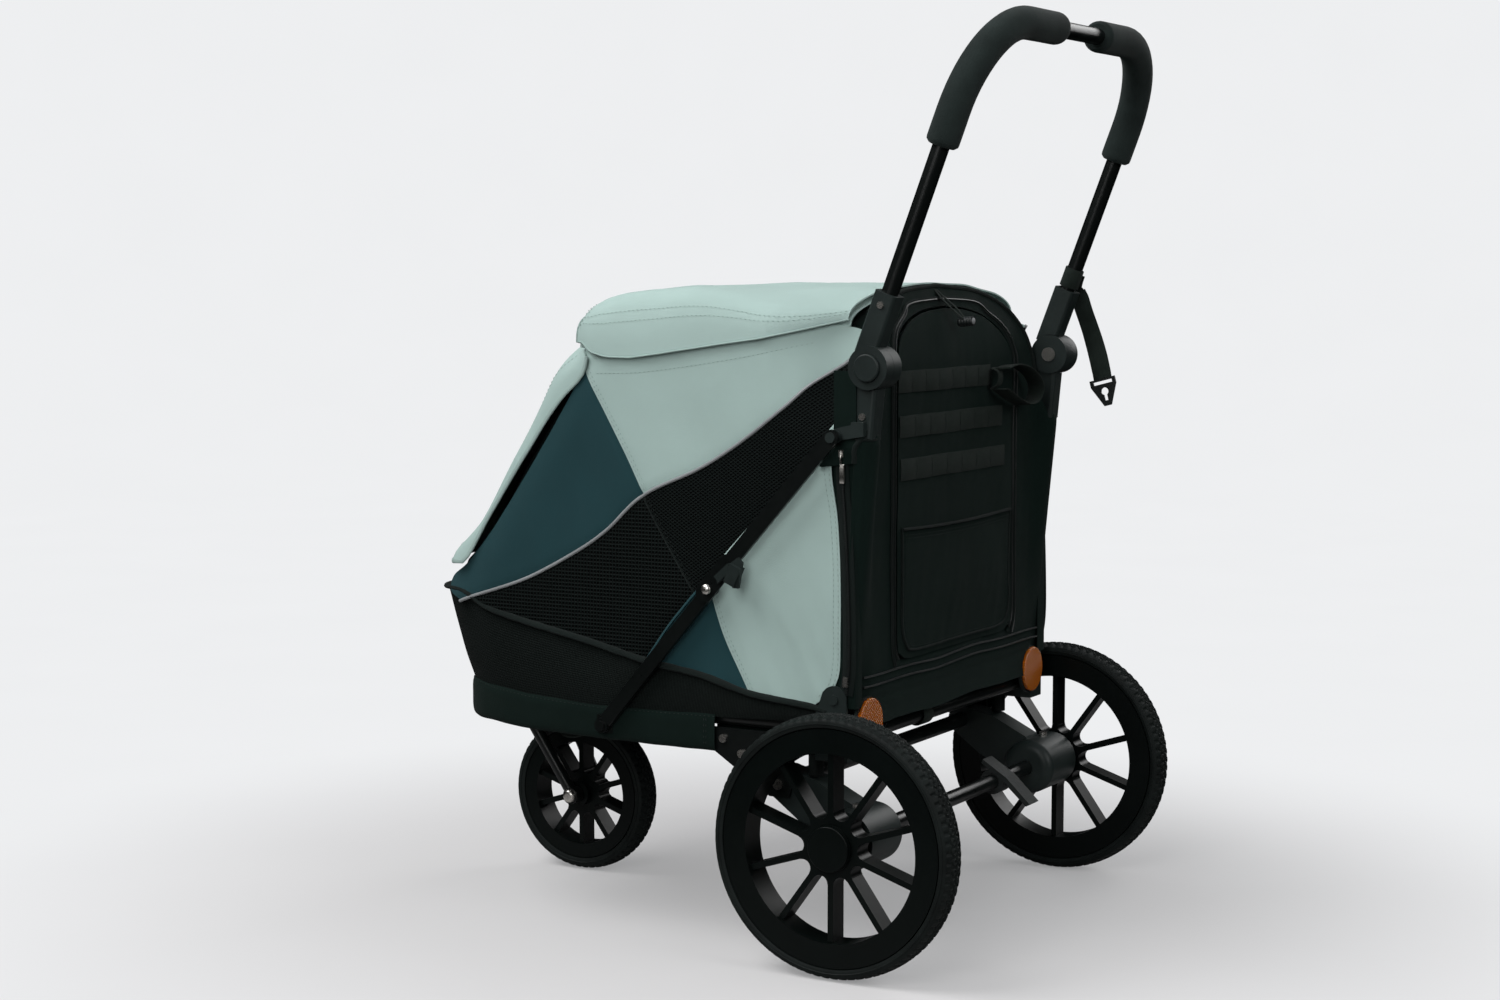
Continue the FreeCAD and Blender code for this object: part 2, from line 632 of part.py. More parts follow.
def build_suspension():
    axle_z = REAR_WHEEL_R
    add("axle_tube", ring_x(AXLE_TUBE_R, AXLE_TUBE_R - WALL, -HOUSING_IN_X, HOUSING_IN_X, 0, axle_z))
    stub_end = WHEEL_X + REAR_HUB_W / 2 - CLEAR
    stub = rod_x(AXLE_PIN_R, HOUSING_IN_X + 20, stub_end, 0, axle_z)
    add("stub_axles", both_sides(stub))

    housing = rod_x(HOUSING_R, HOUSING_IN_X, HOUSING_OUT_X, 0, axle_z)
    housing = housing.makeFillet(12, [housing.Edges[2]])
    shaft_hole = rod_x(AXLE_PIN_R, HOUSING_IN_X + 20, HOUSING_OUT_X + 1, 0, axle_z)
    button_low = axle_z + 20
    drop = RELEASE_TRAVEL + CLEAR
    button_hole = Part.makeCylinder(RELEASE_R + 0.1, HOUSING_R, vec(RELEASE_X, 0, button_low - drop))
    housing = housing.cut([shaft_hole, button_hole])
    add("hub_housings", both_sides(housing))
    release = Part.makeCylinder(RELEASE_R, HOUSING_R - 20 + drop, vec(RELEASE_X, 0, button_low))
    add_sides("release_button", release)

    pivot_y, pivot_z = SWING_PIVOT
    arm = plate_x(
        [
            (pivot_y, pivot_z + ARM_BOSS_R),
            (pivot_y + 45, pivot_z + 9),
            (-8, axle_z + HOUSING_R + 2.5),
            (6, axle_z),
            (-30, axle_z - 14.5),
            (pivot_y + 28, axle_z + 8.5),
            (pivot_y - 13, pivot_z - 14),
        ],
        *ARM_X,
    )
    arm = arm.fuse(rod_x(ARM_BOSS_R, *ARM_X, pivot_y, pivot_z))
    arm = arm.cut(rod_x(AXLE_TUBE_R + RUNNING, 0, 400, pivot_y, pivot_z))
    arm = arm.cut(rod_x(HOUSING_R, 0, 400, 0, axle_z))
    add("suspension_arms", both_sides(arm.removeSplitter()))

    collar = rod_x(16, PEDAL_X - 13, PEDAL_X + 13, 0, axle_z)
    foot = plate_x([(-26, 8), (-28, 13), (10, 19), (56, 17), (54, 11), (8, 12)], PEDAL_X - 14, PEDAL_X + 14)
    foot.rotate(vec(0, 0, 0), X_AXIS, -41)
    foot.translate(vec(0, 0, axle_z))
    pedal = collar.fuse(foot).cut(rod_x(AXLE_TUBE_R + RUNNING, -400, 0, 0, axle_z))
    add("brake_pedal", pedal.removeSplitter())


def build_caster():
    axle_y, axle_z = -WHEELBASE, FRONT_WHEEL_R
    rim = spoked_rim(
        FRONT_SEAT_R, FRONT_OPENING_R, FRONT_HUB_R, FRONT_WIDTH, FRONT_HUB_W, AXLE_PIN_R + RUNNING
    )
    rubber = tyre(FRONT_WHEEL_R, FRONT_SEAT_R, FRONT_WIDTH)
    for name, shape in (("front_rim", rim), ("front_tyre", rubber)):
        shape.translate(vec(0, axle_y, axle_z))
        add(name, shape)

    arm_r = FORK_ARM_R
    low_x = FRONT_HUB_W / 2 + arm_r + 2
    high_x = low_x + 13
    crown_y = CASTER_Y - 36
    arm_low = vec(low_x, axle_y, axle_z)
    arm_high = vec(high_x, crown_y, CROWN_Z + 4)
    boss = rod_x(arm_r + 3, low_x - arm_r, low_x + arm_r, axle_y, axle_z)
    arm = rod_between(arm_r, arm_low, arm_high).fuse(boss)
    crown = box(-high_x - 6, high_x + 6, crown_y - 8, CASTER_Y + 18, CROWN_Z, CROWN_Z + CROWN_T)
    arm_out = low_x + arm_r
    pin = rod_x(AXLE_PIN_R, -arm_out, arm_out, axle_y, axle_z)
    stem_bore = Part.makeCylinder(STEM_R, 2 * CROWN_T, vec(0, CASTER_Y, CROWN_Z - 1))
    head = rod_x(9, arm_out, arm_out + 6, axle_y, axle_z)
    head = head.makeFillet(5, [head.Edges[0]])
    fork = crown.cut(stem_bore).fuse([arm, mirrored(arm)]).cut([pin, head, mirrored(head)])
    add("caster_fork", fork.removeSplitter())
    stem = Part.makeCylinder(STEM_R, UPPER_RAIL_Z + TUBE_R - 5 - CROWN_Z, vec(0, CASTER_Y, CROWN_Z))
    add("caster_stem", stem)
    add("front_axle", pin.fuse([head, mirrored(head)]).removeSplitter())


# ---------------------------------------------------------------- cabin
def ring_loft(sections):
    """A closed solid between flat outlines that all have as many corners."""
    return Part.makeLoft([Part.makePolygon(points + [points[0]]) for points in sections], True, True)


def nose_outline(inset, z, front_y, corner_y):
    """Plan of the cabin at one height, from the rear corners round the nose."""
    half = CABIN_X - inset
    side = [
        (half, corner_y),
        (half - 25, corner_y + (front_y - corner_y) * 0.52),
        (half * 0.66, corner_y + (front_y - corner_y) * 0.86),
    ]
    points = [vec(half, TUB_REAR_Y + inset * 3, z)]
    points += [vec(x, y + inset, z) for x, y in side]
    points += [vec(0, front_y + inset, z)]
    points += [vec(-x, y + inset, z) for x, y in reversed(side)]
    points += [vec(-half, TUB_REAR_Y + inset * 3, z)]
    return points


def build_tub():
    top = LIP_Z + 6
    shells = []
    for inset in (0, PANEL_T):
        low = nose_outline(inset, HEM_Z, HEM_FRONT_Y, HEM_CORNER_Y)
        high = nose_outline(inset, top, NOSE_Y, LIP_CORNER_Y)
        shells.append(ring_loft([low, high]))
    tub = shells[0].cut(shells[1])
    lip = [(NOSE_Y - 10, lip_height(-505) + 8), (-505, lip_height(-505)), (0, lip_height(0)), (0, top + 20)]
    tub = tub.cut(plate_x(lip + [(NOSE_Y - 10, top + 20)], -400, 400))
    tub = tub.cut(box(-400, 400, HEM_REAR_Y, 10, 0, UPPER_RAIL_Z + TUBE_R + 0.5))
    foot_y, foot_z = BRACE_FOOT
    for low, high in ((CABIN_X - 33.5, CABIN_X + 16.5), (-CABIN_X - 16.5, 33.5 - CABIN_X)):
        tub = tub.cut(box(low, high, foot_y - 16, foot_y + 16, 0, foot_z + 20))
    add("lower_tub", tub)


def build_side_panels():
    outline = [
        (TUB_REAR_Y, lip_height(TUB_REAR_Y) + 1),
        (CABIN_REAR_Y + 1, UPPER_RAIL_Z + TUBE_R + 4),
        (CABIN_REAR_Y, 336),
        (-18, 606),
        (-20, 640),
        (-16, 735),
        (-110, 716),
        (-290, 700),
        (ROOF_FRONT_Y, 698),
        (LIP_CORNER_Y, lip_height(LIP_CORNER_Y) + 1),
    ]
    panel = plate_x(outline, CABIN_X - PANEL_T, CABIN_X)
    panel = panel.cut(rod_x(PIN_R + CLEAR, 200, 300, *POST_FOOT))
    add_sides("side_panel", panel)


def roof_section(half, y, edge_z, top_z, thickness):
    outer = Part.Arc(vec(-half, y, edge_z), vec(0, y, top_z), vec(half, y, edge_z)).toShape()
    low = edge_z - thickness
    inner = Part.Arc(vec(half, y, low), vec(0, y, top_z - thickness), vec(-half, y, low)).toShape()
    sides = [
        Part.makeLine(vec(half, y, edge_z), vec(half, y, low)),
        Part.makeLine(vec(-half, y, low), vec(-half, y, edge_z)),
    ]
    return Part.Wire([outer, sides[0], inner, sides[1]])


def build_roof():
    mid_y = -290.0
    sections = [
        roof_section(228, ROOF_REAR_Y, 742, ROOF_TOP_Z, PANEL_T),
        roof_section(CABIN_X - 5, mid_y, 714, ROOF_TOP_Z - 4, PANEL_T),
        roof_section(CABIN_X - 8, ROOF_FRONT_Y, 708, ROOF_TOP_Z - 28, PANEL_T),
    ]
    add("roof_panel", Part.makeLoft(sections, True, True))
    lift = FLAP_GAP + 2
    edge_x = CABIN_X + 3
    flap = [
        roof_section(230, ROOF_REAR_Y, 742 + lift, ROOF_TOP_Z + lift, 2),
        roof_section(edge_x, ROOF_REAR_Y - 90, 736, ROOF_TOP_Z + lift - 1, 2),
        roof_section(edge_x, mid_y, 714 + lift, ROOF_TOP_Z + lift - 4, 2),
        roof_section(edge_x - 4, ROOF_FRONT_Y - 4, 708 + lift, ROOF_TOP_Z + lift - 28, 2),
    ]
    add("roof_flap", Part.makeLoft(flap, True, True))


def front_sheet(out, thickness, low_share, high_share):
    """Sloping sheet between the nose lip and the roof's front edge, shifted outwards."""
    lip = lip_height(LIP_CORNER_Y) + 4
    half = CABIN_X - PANEL_T
    low = [(half, LIP_CORNER_Y, lip), (half - 24, NOSE_Y + 86, lip)]
    low += [(180, NOSE_Y + 29, lip), (0, NOSE_Y, lip)]
    high = [(half - 6, ROOF_FRONT_Y, 702), (half - 40, ROOF_FRONT_Y - 3, 716)]
    high += [(150, ROOF_FRONT_Y - 6, 738), (0, ROOF_FRONT_Y - 8, 748)]
    rows = []
    for share in (low_share, high_share):
        half_row = [tuple(a + (b - a) * share for a, b in zip(p, q)) for p, q in zip(low, high)]
        rows.append(half_row + [(-x, y, z) for x, y, z in reversed(half_row[:-1])])
    outward = [(0.55, -0.70, 0.45), (0.45, -0.75, 0.50), (0.20, -0.78, 0.58), (0, -0.78, 0.62)]
    outward += [(-x, y, z) for x, y, z in reversed(outward[:-1])]
    sides = []
    for row in rows:
        for depth in (out, out + thickness):
            sides.append([vec(*p).add(vec(*way) * depth) for p, way in zip(row, outward)])
    return strip_solid(*sides)


def strip_solid(low_in, low_out, high_in, high_out):
    """A faceted solid between four rows of points, made of triangles so that every face is flat."""
    faces = []

    def quad(a, b, c, d):
        faces.append(outline_face([a, b, c]))
        faces.append(outline_face([a, c, d]))

    for i in range(len(low_in) - 1):
        quad(low_in[i], low_in[i + 1], high_in[i + 1], high_in[i])
        quad(low_out[i], high_out[i], high_out[i + 1], low_out[i + 1])
        quad(low_in[i], low_out[i], low_out[i + 1], low_in[i + 1])
        quad(high_in[i], high_in[i + 1], high_out[i + 1], high_out[i])
    for i in (0, -1):
        quad(low_in[i], high_in[i], high_out[i], low_out[i])
    shell = Part.makeShell(faces)
    solid = Part.makeSolid(shell)
    if solid.Volume < 0:
        solid.reverse()
    return solid


def build_front():
    add("front_panel", front_sheet(0, PANEL_T, 0.03, 0.97))
    add("front_flap", front_sheet(PANEL_T + FLAP_GAP, 2, 0.10, 0.96))


def arched_outline(half, low, shoulder, top, y):
    arc = Part.Arc(vec(half, y, shoulder), vec(0, y, top), vec(-half, y, shoulder)).toShape()
    edges = [
        Part.makeLine(vec(-half, y, shoulder), vec(-half, y, low)),
        Part.makeLine(vec(-half, y, low), vec(half, y, low)),
        Part.makeLine(vec(half, y, low), vec(half, y, shoulder)),
        arc,
    ]
    return Part.Face(Part.Wire(edges))


def build_rear():
    thickness = vec(0, -4, 0)
    y = CABIN_REAR_Y
    wide = arched_outline(BRACKET_IN_X - 5.5, 316, 500, 590, y).extrude(thickness)
    tall = arched_outline(230, 316, 736, ROOF_TOP_Z, y).extrude(thickness)
    skirt = arched_outline(195, UPPER_RAIL_Z + 6, 316, 320, y).extrude(thickness)
    doorway = arched_outline(
        DOOR_HALF + DOOR_GAP, DOOR_LOW_Z - DOOR_GAP, DOOR_SHOULDER_Z, DOOR_TOP_Z + DOOR_GAP, y + 1
    ).extrude(vec(0, -6, 0))
    add("rear_surround", wide.fuse([tall, skirt]).cut(doorway).removeSplitter())

    door = arched_outline(DOOR_HALF, DOOR_LOW_Z, DOOR_SHOULDER_Z, DOOR_TOP_Z, y).extrude(thickness)
    add("rear_door", door)
    rows = []
    for low_x, high_x, z in ((-94, 150, 660), (-130, 150, 607), (-138, 150, 556)):
        rows.append(box(low_x, high_x, y, y + 1.8, z, z + 26))
    add("door_webbing", Part.Compound(rows))
    add("door_pocket", box(-155, 155, y, y + 4, 350, 497))
    toggle = rod_x(5, -9, 9, y + 8, 738)
    toggle = toggle.fuse(box(-4, 4, y, y + 2, 735, 756)).fuse(box(-4, 4, y, y + 8, 736.5, 739.5))
    add("door_toggle", toggle.removeSplitter())


def floor_outline(half, rear_y, corner_y, front_half, front_y, z):
    """Plan of the floor: straight sides and a nose with cut corners."""
    points = [(half, rear_y), (half, corner_y), (front_half, front_y)]
    points += [(-x, y) for x, y in reversed(points)]
    return outline_face([vec(x, y, z) for x, y in points])


def build_floor():
    rear_y = TUB_REAR_Y - 4
    front_y = HEM_FRONT_Y + 62
    front_half = 150.0
    board = floor_outline(BOARD_HALF, rear_y, HEM_CORNER_Y, front_half, front_y, BOARD_Z)
    add("floor_board", board.extrude(vec(0, 0, BOARD_T)))
    mat = floor_outline(
        BOARD_HALF - CUSHION_INSET,
        rear_y - 4,
        HEM_CORNER_Y + CUSHION_INSET,
        front_half - 10,
        front_y + 14,
        BOARD_Z + BOARD_T + CLEAR,
    )
    add("cushion", mat.extrude(vec(0, 0, CUSHION_T)))


# ---------------------------------------------------------------- whole stroller
def footprint_centre(shapes):
    bounds = FreeCAD.BoundBox()
    for shape in shapes:
        bounds.add(shape.optimalBoundingBox(False, False))
    return vec(-(bounds.XMin + bounds.XMax) / 2, -(bounds.YMin + bounds.YMax) / 2, -bounds.ZMin)


def main():
    build_frame()
    build_posts()
    build_handle()
    build_braces()
    build_rear_wheels()
    build_suspension()
    build_caster()
    build_tub()
    build_side_panels()
    build_roof()
    build_front()
    build_rear()
    build_floor()
    shift = footprint_centre(NODES.values())
    os.makedirs("parts", exist_ok=True)
    for name, shape in NODES.items():
        shape.translate(shift)
        shape.exportStep(os.path.join("parts", name + ".step"))
    print(len(NODES), "nodes, origin shift", [round(value, 3) for value in shift])


main()
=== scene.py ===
import math

import bpy
import numpy as np
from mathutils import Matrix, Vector, noise
from mathutils.geometry import delaunay_2d_cdt


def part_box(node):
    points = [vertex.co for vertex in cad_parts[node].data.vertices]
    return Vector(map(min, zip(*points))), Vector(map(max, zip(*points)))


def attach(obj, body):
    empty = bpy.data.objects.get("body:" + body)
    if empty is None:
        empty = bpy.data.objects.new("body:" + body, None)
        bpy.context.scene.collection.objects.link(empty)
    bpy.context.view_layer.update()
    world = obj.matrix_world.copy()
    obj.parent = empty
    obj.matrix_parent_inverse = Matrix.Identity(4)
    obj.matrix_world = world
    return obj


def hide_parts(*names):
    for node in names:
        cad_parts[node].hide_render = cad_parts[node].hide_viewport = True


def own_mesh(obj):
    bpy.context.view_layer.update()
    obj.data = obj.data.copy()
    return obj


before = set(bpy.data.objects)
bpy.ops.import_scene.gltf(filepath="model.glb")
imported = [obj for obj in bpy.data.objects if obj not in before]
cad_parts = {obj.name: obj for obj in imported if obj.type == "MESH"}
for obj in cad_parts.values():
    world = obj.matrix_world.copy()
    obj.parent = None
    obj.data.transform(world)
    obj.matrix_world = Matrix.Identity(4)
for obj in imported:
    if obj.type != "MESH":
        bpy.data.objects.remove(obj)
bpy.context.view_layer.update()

# Looks of the pet stroller. Shapes are laid out in millimetres from the line on the floor under the
# rear axle, as the CAD is, and turned into the frame's metres when a piece is made.

MM = 0.001
stub_low, stub_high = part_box("stub_axles")
AXLE_Y = (stub_low.y + stub_high.y) / 2


def metres(x, y, z):
    return Vector((x * MM, AXLE_Y + y * MM, z * MM))


# ---------------------------------------------------------------- camera, light and stage
def make_camera():
    data = bpy.data.cameras.new("camera")
    data.lens = 62.45
    data.sensor_width = 36.0
    data.clip_end = 60.0
    camera = bpy.data.objects.new("camera", data)
    bpy.context.collection.objects.link(camera)
    camera.location = metres(2890.9, 1359.8, 811.7)
    look = Vector((-0.8645, -0.4950, -0.0906))
    camera.rotation_euler = look.to_track_quat("-Z", "Y").to_euler()
    bpy.context.scene.camera = camera


def area_light(name, spot, target, size, power, tint=(1.0, 1.0, 1.0)):
    data = bpy.data.lights.new(name, "AREA")
    data.shape = "RECTANGLE"
    data.size, data.size_y = size
    data.energy = power
    data.color = tint
    light = bpy.data.objects.new(name, data)
    bpy.context.collection.objects.link(light)
    light.location = spot
    light.rotation_euler = (Vector(target) - Vector(spot)).to_track_quat("-Z", "Y").to_euler()


STAGE_NEAR = (0.37, 0.362, 0.362)  # the floor's own colour at the middle
STAGE_GLOW = (0.27, 0.885)  # light of its own at the middle and far out; the lower middle value paints a soft pool of shade round the stroller
STAGE_FADE = (0.45, 1.25)  # radii in metres where the change starts and ends
STAGE_TURNS = 96
STAGE_PROFILE = [
    (0.0001, 0), (0.5, 0), (1.5, 0), (3.0, 0), (4.5, 0),
    (5.6, 0.05), (6.3, 0.35), (6.8, 0.9), (7.0, 1.8), (7.1, 6.0),
]


def make_stage():
    """A pale floor that curves up to a round wall, so that no horizon shows from any side."""
    rings, steps = [], STAGE_TURNS
    for radius, height in STAGE_PROFILE:
        turn = [2 * math.pi * k / steps for k in range(steps + 1)]
        rings.append([(radius * math.cos(a), radius * math.sin(a), height) for a in turn])
    verts = [p for ring in rings for p in ring]
    width = steps + 1
    faces = [
        (r * width + k, r * width + k + 1, (r + 1) * width + k + 1, (r + 1) * width + k)
        for r in range(len(rings) - 1)
        for k in range(steps)
    ]
    mesh = bpy.data.meshes.new("stage_floor")
    mesh.from_pydata(verts, [], faces)
    mesh.polygons.foreach_set("use_smooth", [True] * len(mesh.polygons))
    floor = bpy.data.objects.new("stage_floor", mesh)
    bpy.context.collection.objects.link(floor)
    paint = Look("stage_pale", STAGE_NEAR, 0.95, Specular_IOR_Level=0.0)
    far = paint.node("ShaderNodeVectorMath", operation="LENGTH")
    paint.link(paint.coord("Object"), far.inputs[0])
    share = paint.node("ShaderNodeMapRange", interpolation_type="SMOOTHSTEP")
    paint.link(far.outputs["Value"], share.inputs["Value"])
    share.inputs["From Min"].default_value, share.inputs["From Max"].default_value = STAGE_FADE
    mottle = paint.math("MULTIPLY", paint.noise(3.0, 3.0), 0.02)
    base = paint.node("ShaderNodeMix", data_type="RGBA")
    paint.link(share.outputs["Result"], base.inputs["Factor"])
    base.inputs["A"].default_value = (*STAGE_NEAR, 1)
    base.inputs["B"].default_value = (0, 0, 0, 1)
    paint.link(base.outputs["Result"], paint.bsdf.inputs["Base Color"])
    # The glow is seen by the camera only and is lower near the middle, so the floor round the stroller is darker: a
    # painted soft pool of shade, in which the lamps add the real shadows.
    glow = paint.math("MULTIPLY", share.outputs["Result"], STAGE_GLOW[1] - STAGE_GLOW[0])
    glow = paint.math("ADD", glow, STAGE_GLOW[0])
    seen = paint.node("ShaderNodeLightPath").outputs["Is Camera Ray"]
    glow = paint.math("SUBTRACT", glow, mottle)
    paint.link(paint.math("MULTIPLY", glow, seen), paint.bsdf.inputs["Emission Strength"])
    paint.bsdf.inputs["Emission Color"].default_value = (0.975, 0.985, 1.0, 1)
    mesh.materials.append(paint.material)


def make_lights():
    world = bpy.data.worlds.new("studio")
    bpy.context.scene.world = world
    world.use_nodes = True
    sky = world.node_tree.nodes["Background"]
    sky.inputs["Color"].default_value = (0.93, 0.96, 1.0, 1)
    sky.inputs["Strength"].default_value = 0.46
    bpy.context.scene.view_settings.view_transform = "Standard"
    middle = (0, 0, 0.5)
    area_light("key", (1.6, -1.6, 3.4), middle, (2.6, 2.2), 118)
    area_light("side", (3.4, 0.6, 1.9), middle, (1.8, 2.4), 66)
    area_light("rear", (0.4, 3.6, 2.0), middle, (2.4, 1.8), 52)
    area_light("far_rim", (-3.2, 0.9, 2.2), middle, (1.6, 2.4), 44)


# ---------------------------------------------------------------- materials
class Look:
    """One procedural material and the nodes that it's made of."""

    def __init__(self, name, colour, rough, **sockets):
        self.material = bpy.data.materials.new(name)
        self.material.use_nodes = True
        self.tree = self.material.node_tree
        self.bsdf = self.tree.nodes["Principled BSDF"]
        self.colour = colour
        self.bsdf.inputs["Base Color"].default_value = (*colour, 1)
        self.bsdf.inputs["Roughness"].default_value = rough
        self.rough = rough
        self.height = None
        for socket, value in sockets.items():
            self.bsdf.inputs[socket.replace("_", " ")].default_value = value

    def node(self, kind, **settings):
        made = self.tree.nodes.new(kind)
        for key, value in settings.items():
            setattr(made, key, value)
        return made

    def link(self, source, target):
        self.tree.links.new(source, target)

    def coord(self, kind):
        return self.node("ShaderNodeTexCoord").outputs[kind]

    def math(self, operation, first, second=None):
        made = self.node("ShaderNodeMath", operation=operation)
        for socket, value in zip(made.inputs, (first, second)):
            if value is None:
                continue
            if isinstance(value, (int, float)):
                socket.default_value = value
            else:
                self.link(value, socket)
        return made.outputs[0]

    def noise(self, scale, detail=3.0, kind="Object", stretch=None):
        made = self.node("ShaderNodeTexNoise")
        made.inputs["Scale"].default_value = scale
        made.inputs["Detail"].default_value = detail
        source = self.coord(kind)
        if stretch:
            bent = self.node("ShaderNodeMapping")
            bent.inputs["Scale"].default_value = stretch
            self.link(source, bent.inputs["Vector"])
            source = bent.outputs[0]
        self.link(source, made.inputs["Vector"])
        return made.outputs["Fac"]

    def wave(self, axis, pitch, kind="UV"):
        """sin(2 pi s / pitch) along one axis, with the pitch in metres."""
        parts = self.node("ShaderNodeSeparateXYZ")
        self.link(self.coord(kind), parts.inputs[0])
        return self.math("SINE", self.math("MULTIPLY", parts.outputs[axis], 2 * math.pi / pitch))

    def diagonal(self, sign, pitch, kind="UV"):
        parts = self.node("ShaderNodeSeparateXYZ")
        self.link(self.coord(kind), parts.inputs[0])
        mixed = self.math("ADD", parts.outputs[0], self.math("MULTIPLY", parts.outputs[1], sign * 1.5))
        return self.math("SINE", self.math("MULTIPLY", mixed, 2 * math.pi / pitch))

    def bump(self, height, distance, strength=1.0):
        made = self.node("ShaderNodeBump")
        made.inputs["Distance"].default_value = distance
        made.inputs["Strength"].default_value = strength
        self.link(height, made.inputs["Height"])
        if self.height is not None:
            self.link(self.height, made.inputs["Normal"])
        self.height = made.outputs["Normal"]
        self.link(self.height, self.bsdf.inputs["Normal"])

    def tint(self, factor, dark, light, low=0.3, high=0.7):
        """Colour from dark to light with a factor from low to high, both as shares of the colour."""
        ramp = self.node("ShaderNodeValToRGB")
        ramp.color_ramp.elements[0].position = low
        ramp.color_ramp.elements[1].position = high
        ramp.color_ramp.elements[0].color = (*[c * dark for c in self.colour], 1)
        ramp.color_ramp.elements[1].color = (*[min(1, c * light) for c in self.colour], 1)
        self.link(factor, ramp.inputs["Fac"])
        self.link(ramp.outputs["Color"], self.bsdf.inputs["Base Color"])

    def vary_rough(self, factor, spread):
        made = self.node("ShaderNodeMapRange")
        made.inputs["To Min"].default_value = max(0.02, self.rough - spread)
        made.inputs["To Max"].default_value = min(1.0, self.rough + spread)
        self.link(factor, made.inputs["Value"])
        self.link(made.outputs["Result"], self.bsdf.inputs["Roughness"])


def woven(name, colour, rough, pitch=0.0011, depth=0.00022, sheen=0.06, spread=0.10, gloss=0.2):
    """Plain-woven cloth: threads over and under, soft clouds of shade and a little sheen."""
    look = Look(name, colour, rough, Sheen_Weight=sheen, Sheen_Roughness=0.5, Specular_IOR_Level=gloss)
    threads = look.math("MULTIPLY", look.wave(0, pitch), look.wave(1, pitch))
    mottle = look.noise(9.0, 5.0)
    fine = look.noise(900, 2.0)
    shade = look.math("ADD", look.math("MULTIPLY", threads, 0.10), mottle)
    shade = look.math("ADD", shade, look.math("MULTIPLY", fine, 0.25))
    look.tint(shade, 1 - spread, 1 + spread, 0.35, 0.95)
    look.vary_rough(mottle, 0.06)
    look.bump(threads, depth, 0.6)
    look.bump(look.noise(55, 4.0), 0.0012, 0.25)
    look.bump(fine, 0.0002, 0.5)
    return look.material


def netting(name, pitch, slant):
    """Black net: square holes, or holes set in slanted rows. The sheet is solid, and its holes are painted near black:
    painted shade for the black, shaded inside seen through them.
    """
    look = Look(name, (0.0020, 0.0030, 0.0028), 0.62, Specular_IOR_Level=0.04)
    first = look.diagonal(1, pitch) if slant else look.wave(0, pitch)
    second = look.diagonal(-1, pitch) if slant else look.wave(1, pitch)
    cells = look.math("MAXIMUM", first, second)
    # painted shade: the holes go near black for the shaded inside seen through them, and the threads go lighter
    look.tint(cells, 0.10, 2.8, 0.15, 0.75)
    look.bump(cells, 0.0009, 0.9)
    look.bump(look.noise(40, 3.0), 0.002, 0.25)
    return look.material


def quilted_black(name):
    """The lower part's black cloth, with small pressed diamonds."""
    look = Look(name, (0.0026, 0.0044, 0.0038), 0.62, Sheen_Weight=0.01, Specular_IOR_Level=0.06)
    diamonds = look.math("MULTIPLY", look.diagonal(1, 0.0085), look.diagonal(-1, 0.0085))
    threads = look.math("MULTIPLY", look.wave(0, 0.0014), look.wave(1, 0.0014))
    look.tint(look.math("ADD", diamonds, look.noise(12, 4.0)), 0.75, 1.6, 0.1, 1.3)
    look.bump(diamonds, 0.0009, 0.55)
    look.bump(threads, 0.0002, 0.5)
    look.bump(look.noise(35, 4.0), 0.0015, 0.25)
    return look.material


def webbing(name, colour=(0.0120, 0.0170, 0.0145)):
    look = Look(name, colour, 0.80, Sheen_Weight=0.03, Specular_IOR_Level=0.06)
    ribs = look.math("MULTIPLY", look.wave(1, 0.0016), look.wave(0, 0.0032))
    look.tint(look.math("ADD", ribs, look.noise(60, 4.0)), 0.65, 1.5, 0.0, 1.2)
    look.bump(ribs, 0.0004, 0.8)
    look.bump(look.noise(300, 3.0), 0.0004, 0.5)
    return look.material


def painted(name, colour, rough, grain=700.0, depth=0.00012, coat=0.0, wear=0.25, spec=0.5):
    """Powder coat or moulded plastic: fine grain, uneven gloss and rubbed marks."""
    look = Look(name, colour, rough, Coat_Weight=coat, Coat_Roughness=0.35, Specular_IOR_Level=spec)
    broad = look.noise(14, 4.0)
    marks = look.noise(160, 6.0)
    look.tint(look.math("ADD", look.math("MULTIPLY", marks, wear), broad), 0.85, 1.3, 0.35, 0.9)
    look.vary_rough(look.math("MULTIPLY", look.math("ADD", broad, marks), 0.5), 0.09)
    look.bump(look.noise(grain, 2.0), depth, 0.45)
    return look.material


def foam(name):
    look = Look(name, (0.0130, 0.0185, 0.0175), 0.88, Sheen_Weight=0.05, Specular_IOR_Level=0.08)
    cells = look.node("ShaderNodeTexVoronoi")
    cells.inputs["Scale"].default_value = 900
    look.link(look.coord("Object"), cells.inputs["Vector"])
    look.tint(look.noise(25, 4.0), 0.8, 1.35)
    look.bump(cells.outputs["Distance"], 0.0003, 0.7)
    look.bump(look.noise(120, 3.0), 0.0004, 0.35)
    return look.material


def rubber(name):
    look = Look(name, (0.0040, 0.0058, 0.0054), 0.58, Specular_IOR_Level=0.12)
    dust = look.noise(30, 5.0)
    look.tint(dust, 0.8, 1.7)
    look.vary_rough(dust, 0.12)
    look.bump(look.noise(420, 3.0), 0.0002, 0.5)
    return look.material


def steel(name):
    look = Look(name, (0.62, 0.60, 0.56), 0.28, Metallic=1.0)
    lines = look.noise(300, 3.0, stretch=(1, 6, 6))
    look.tint(lines, 0.8, 1.1)
    look.vary_rough(lines, 0.1)
    look.bump(lines, 0.00005, 0.4)
    return look.material


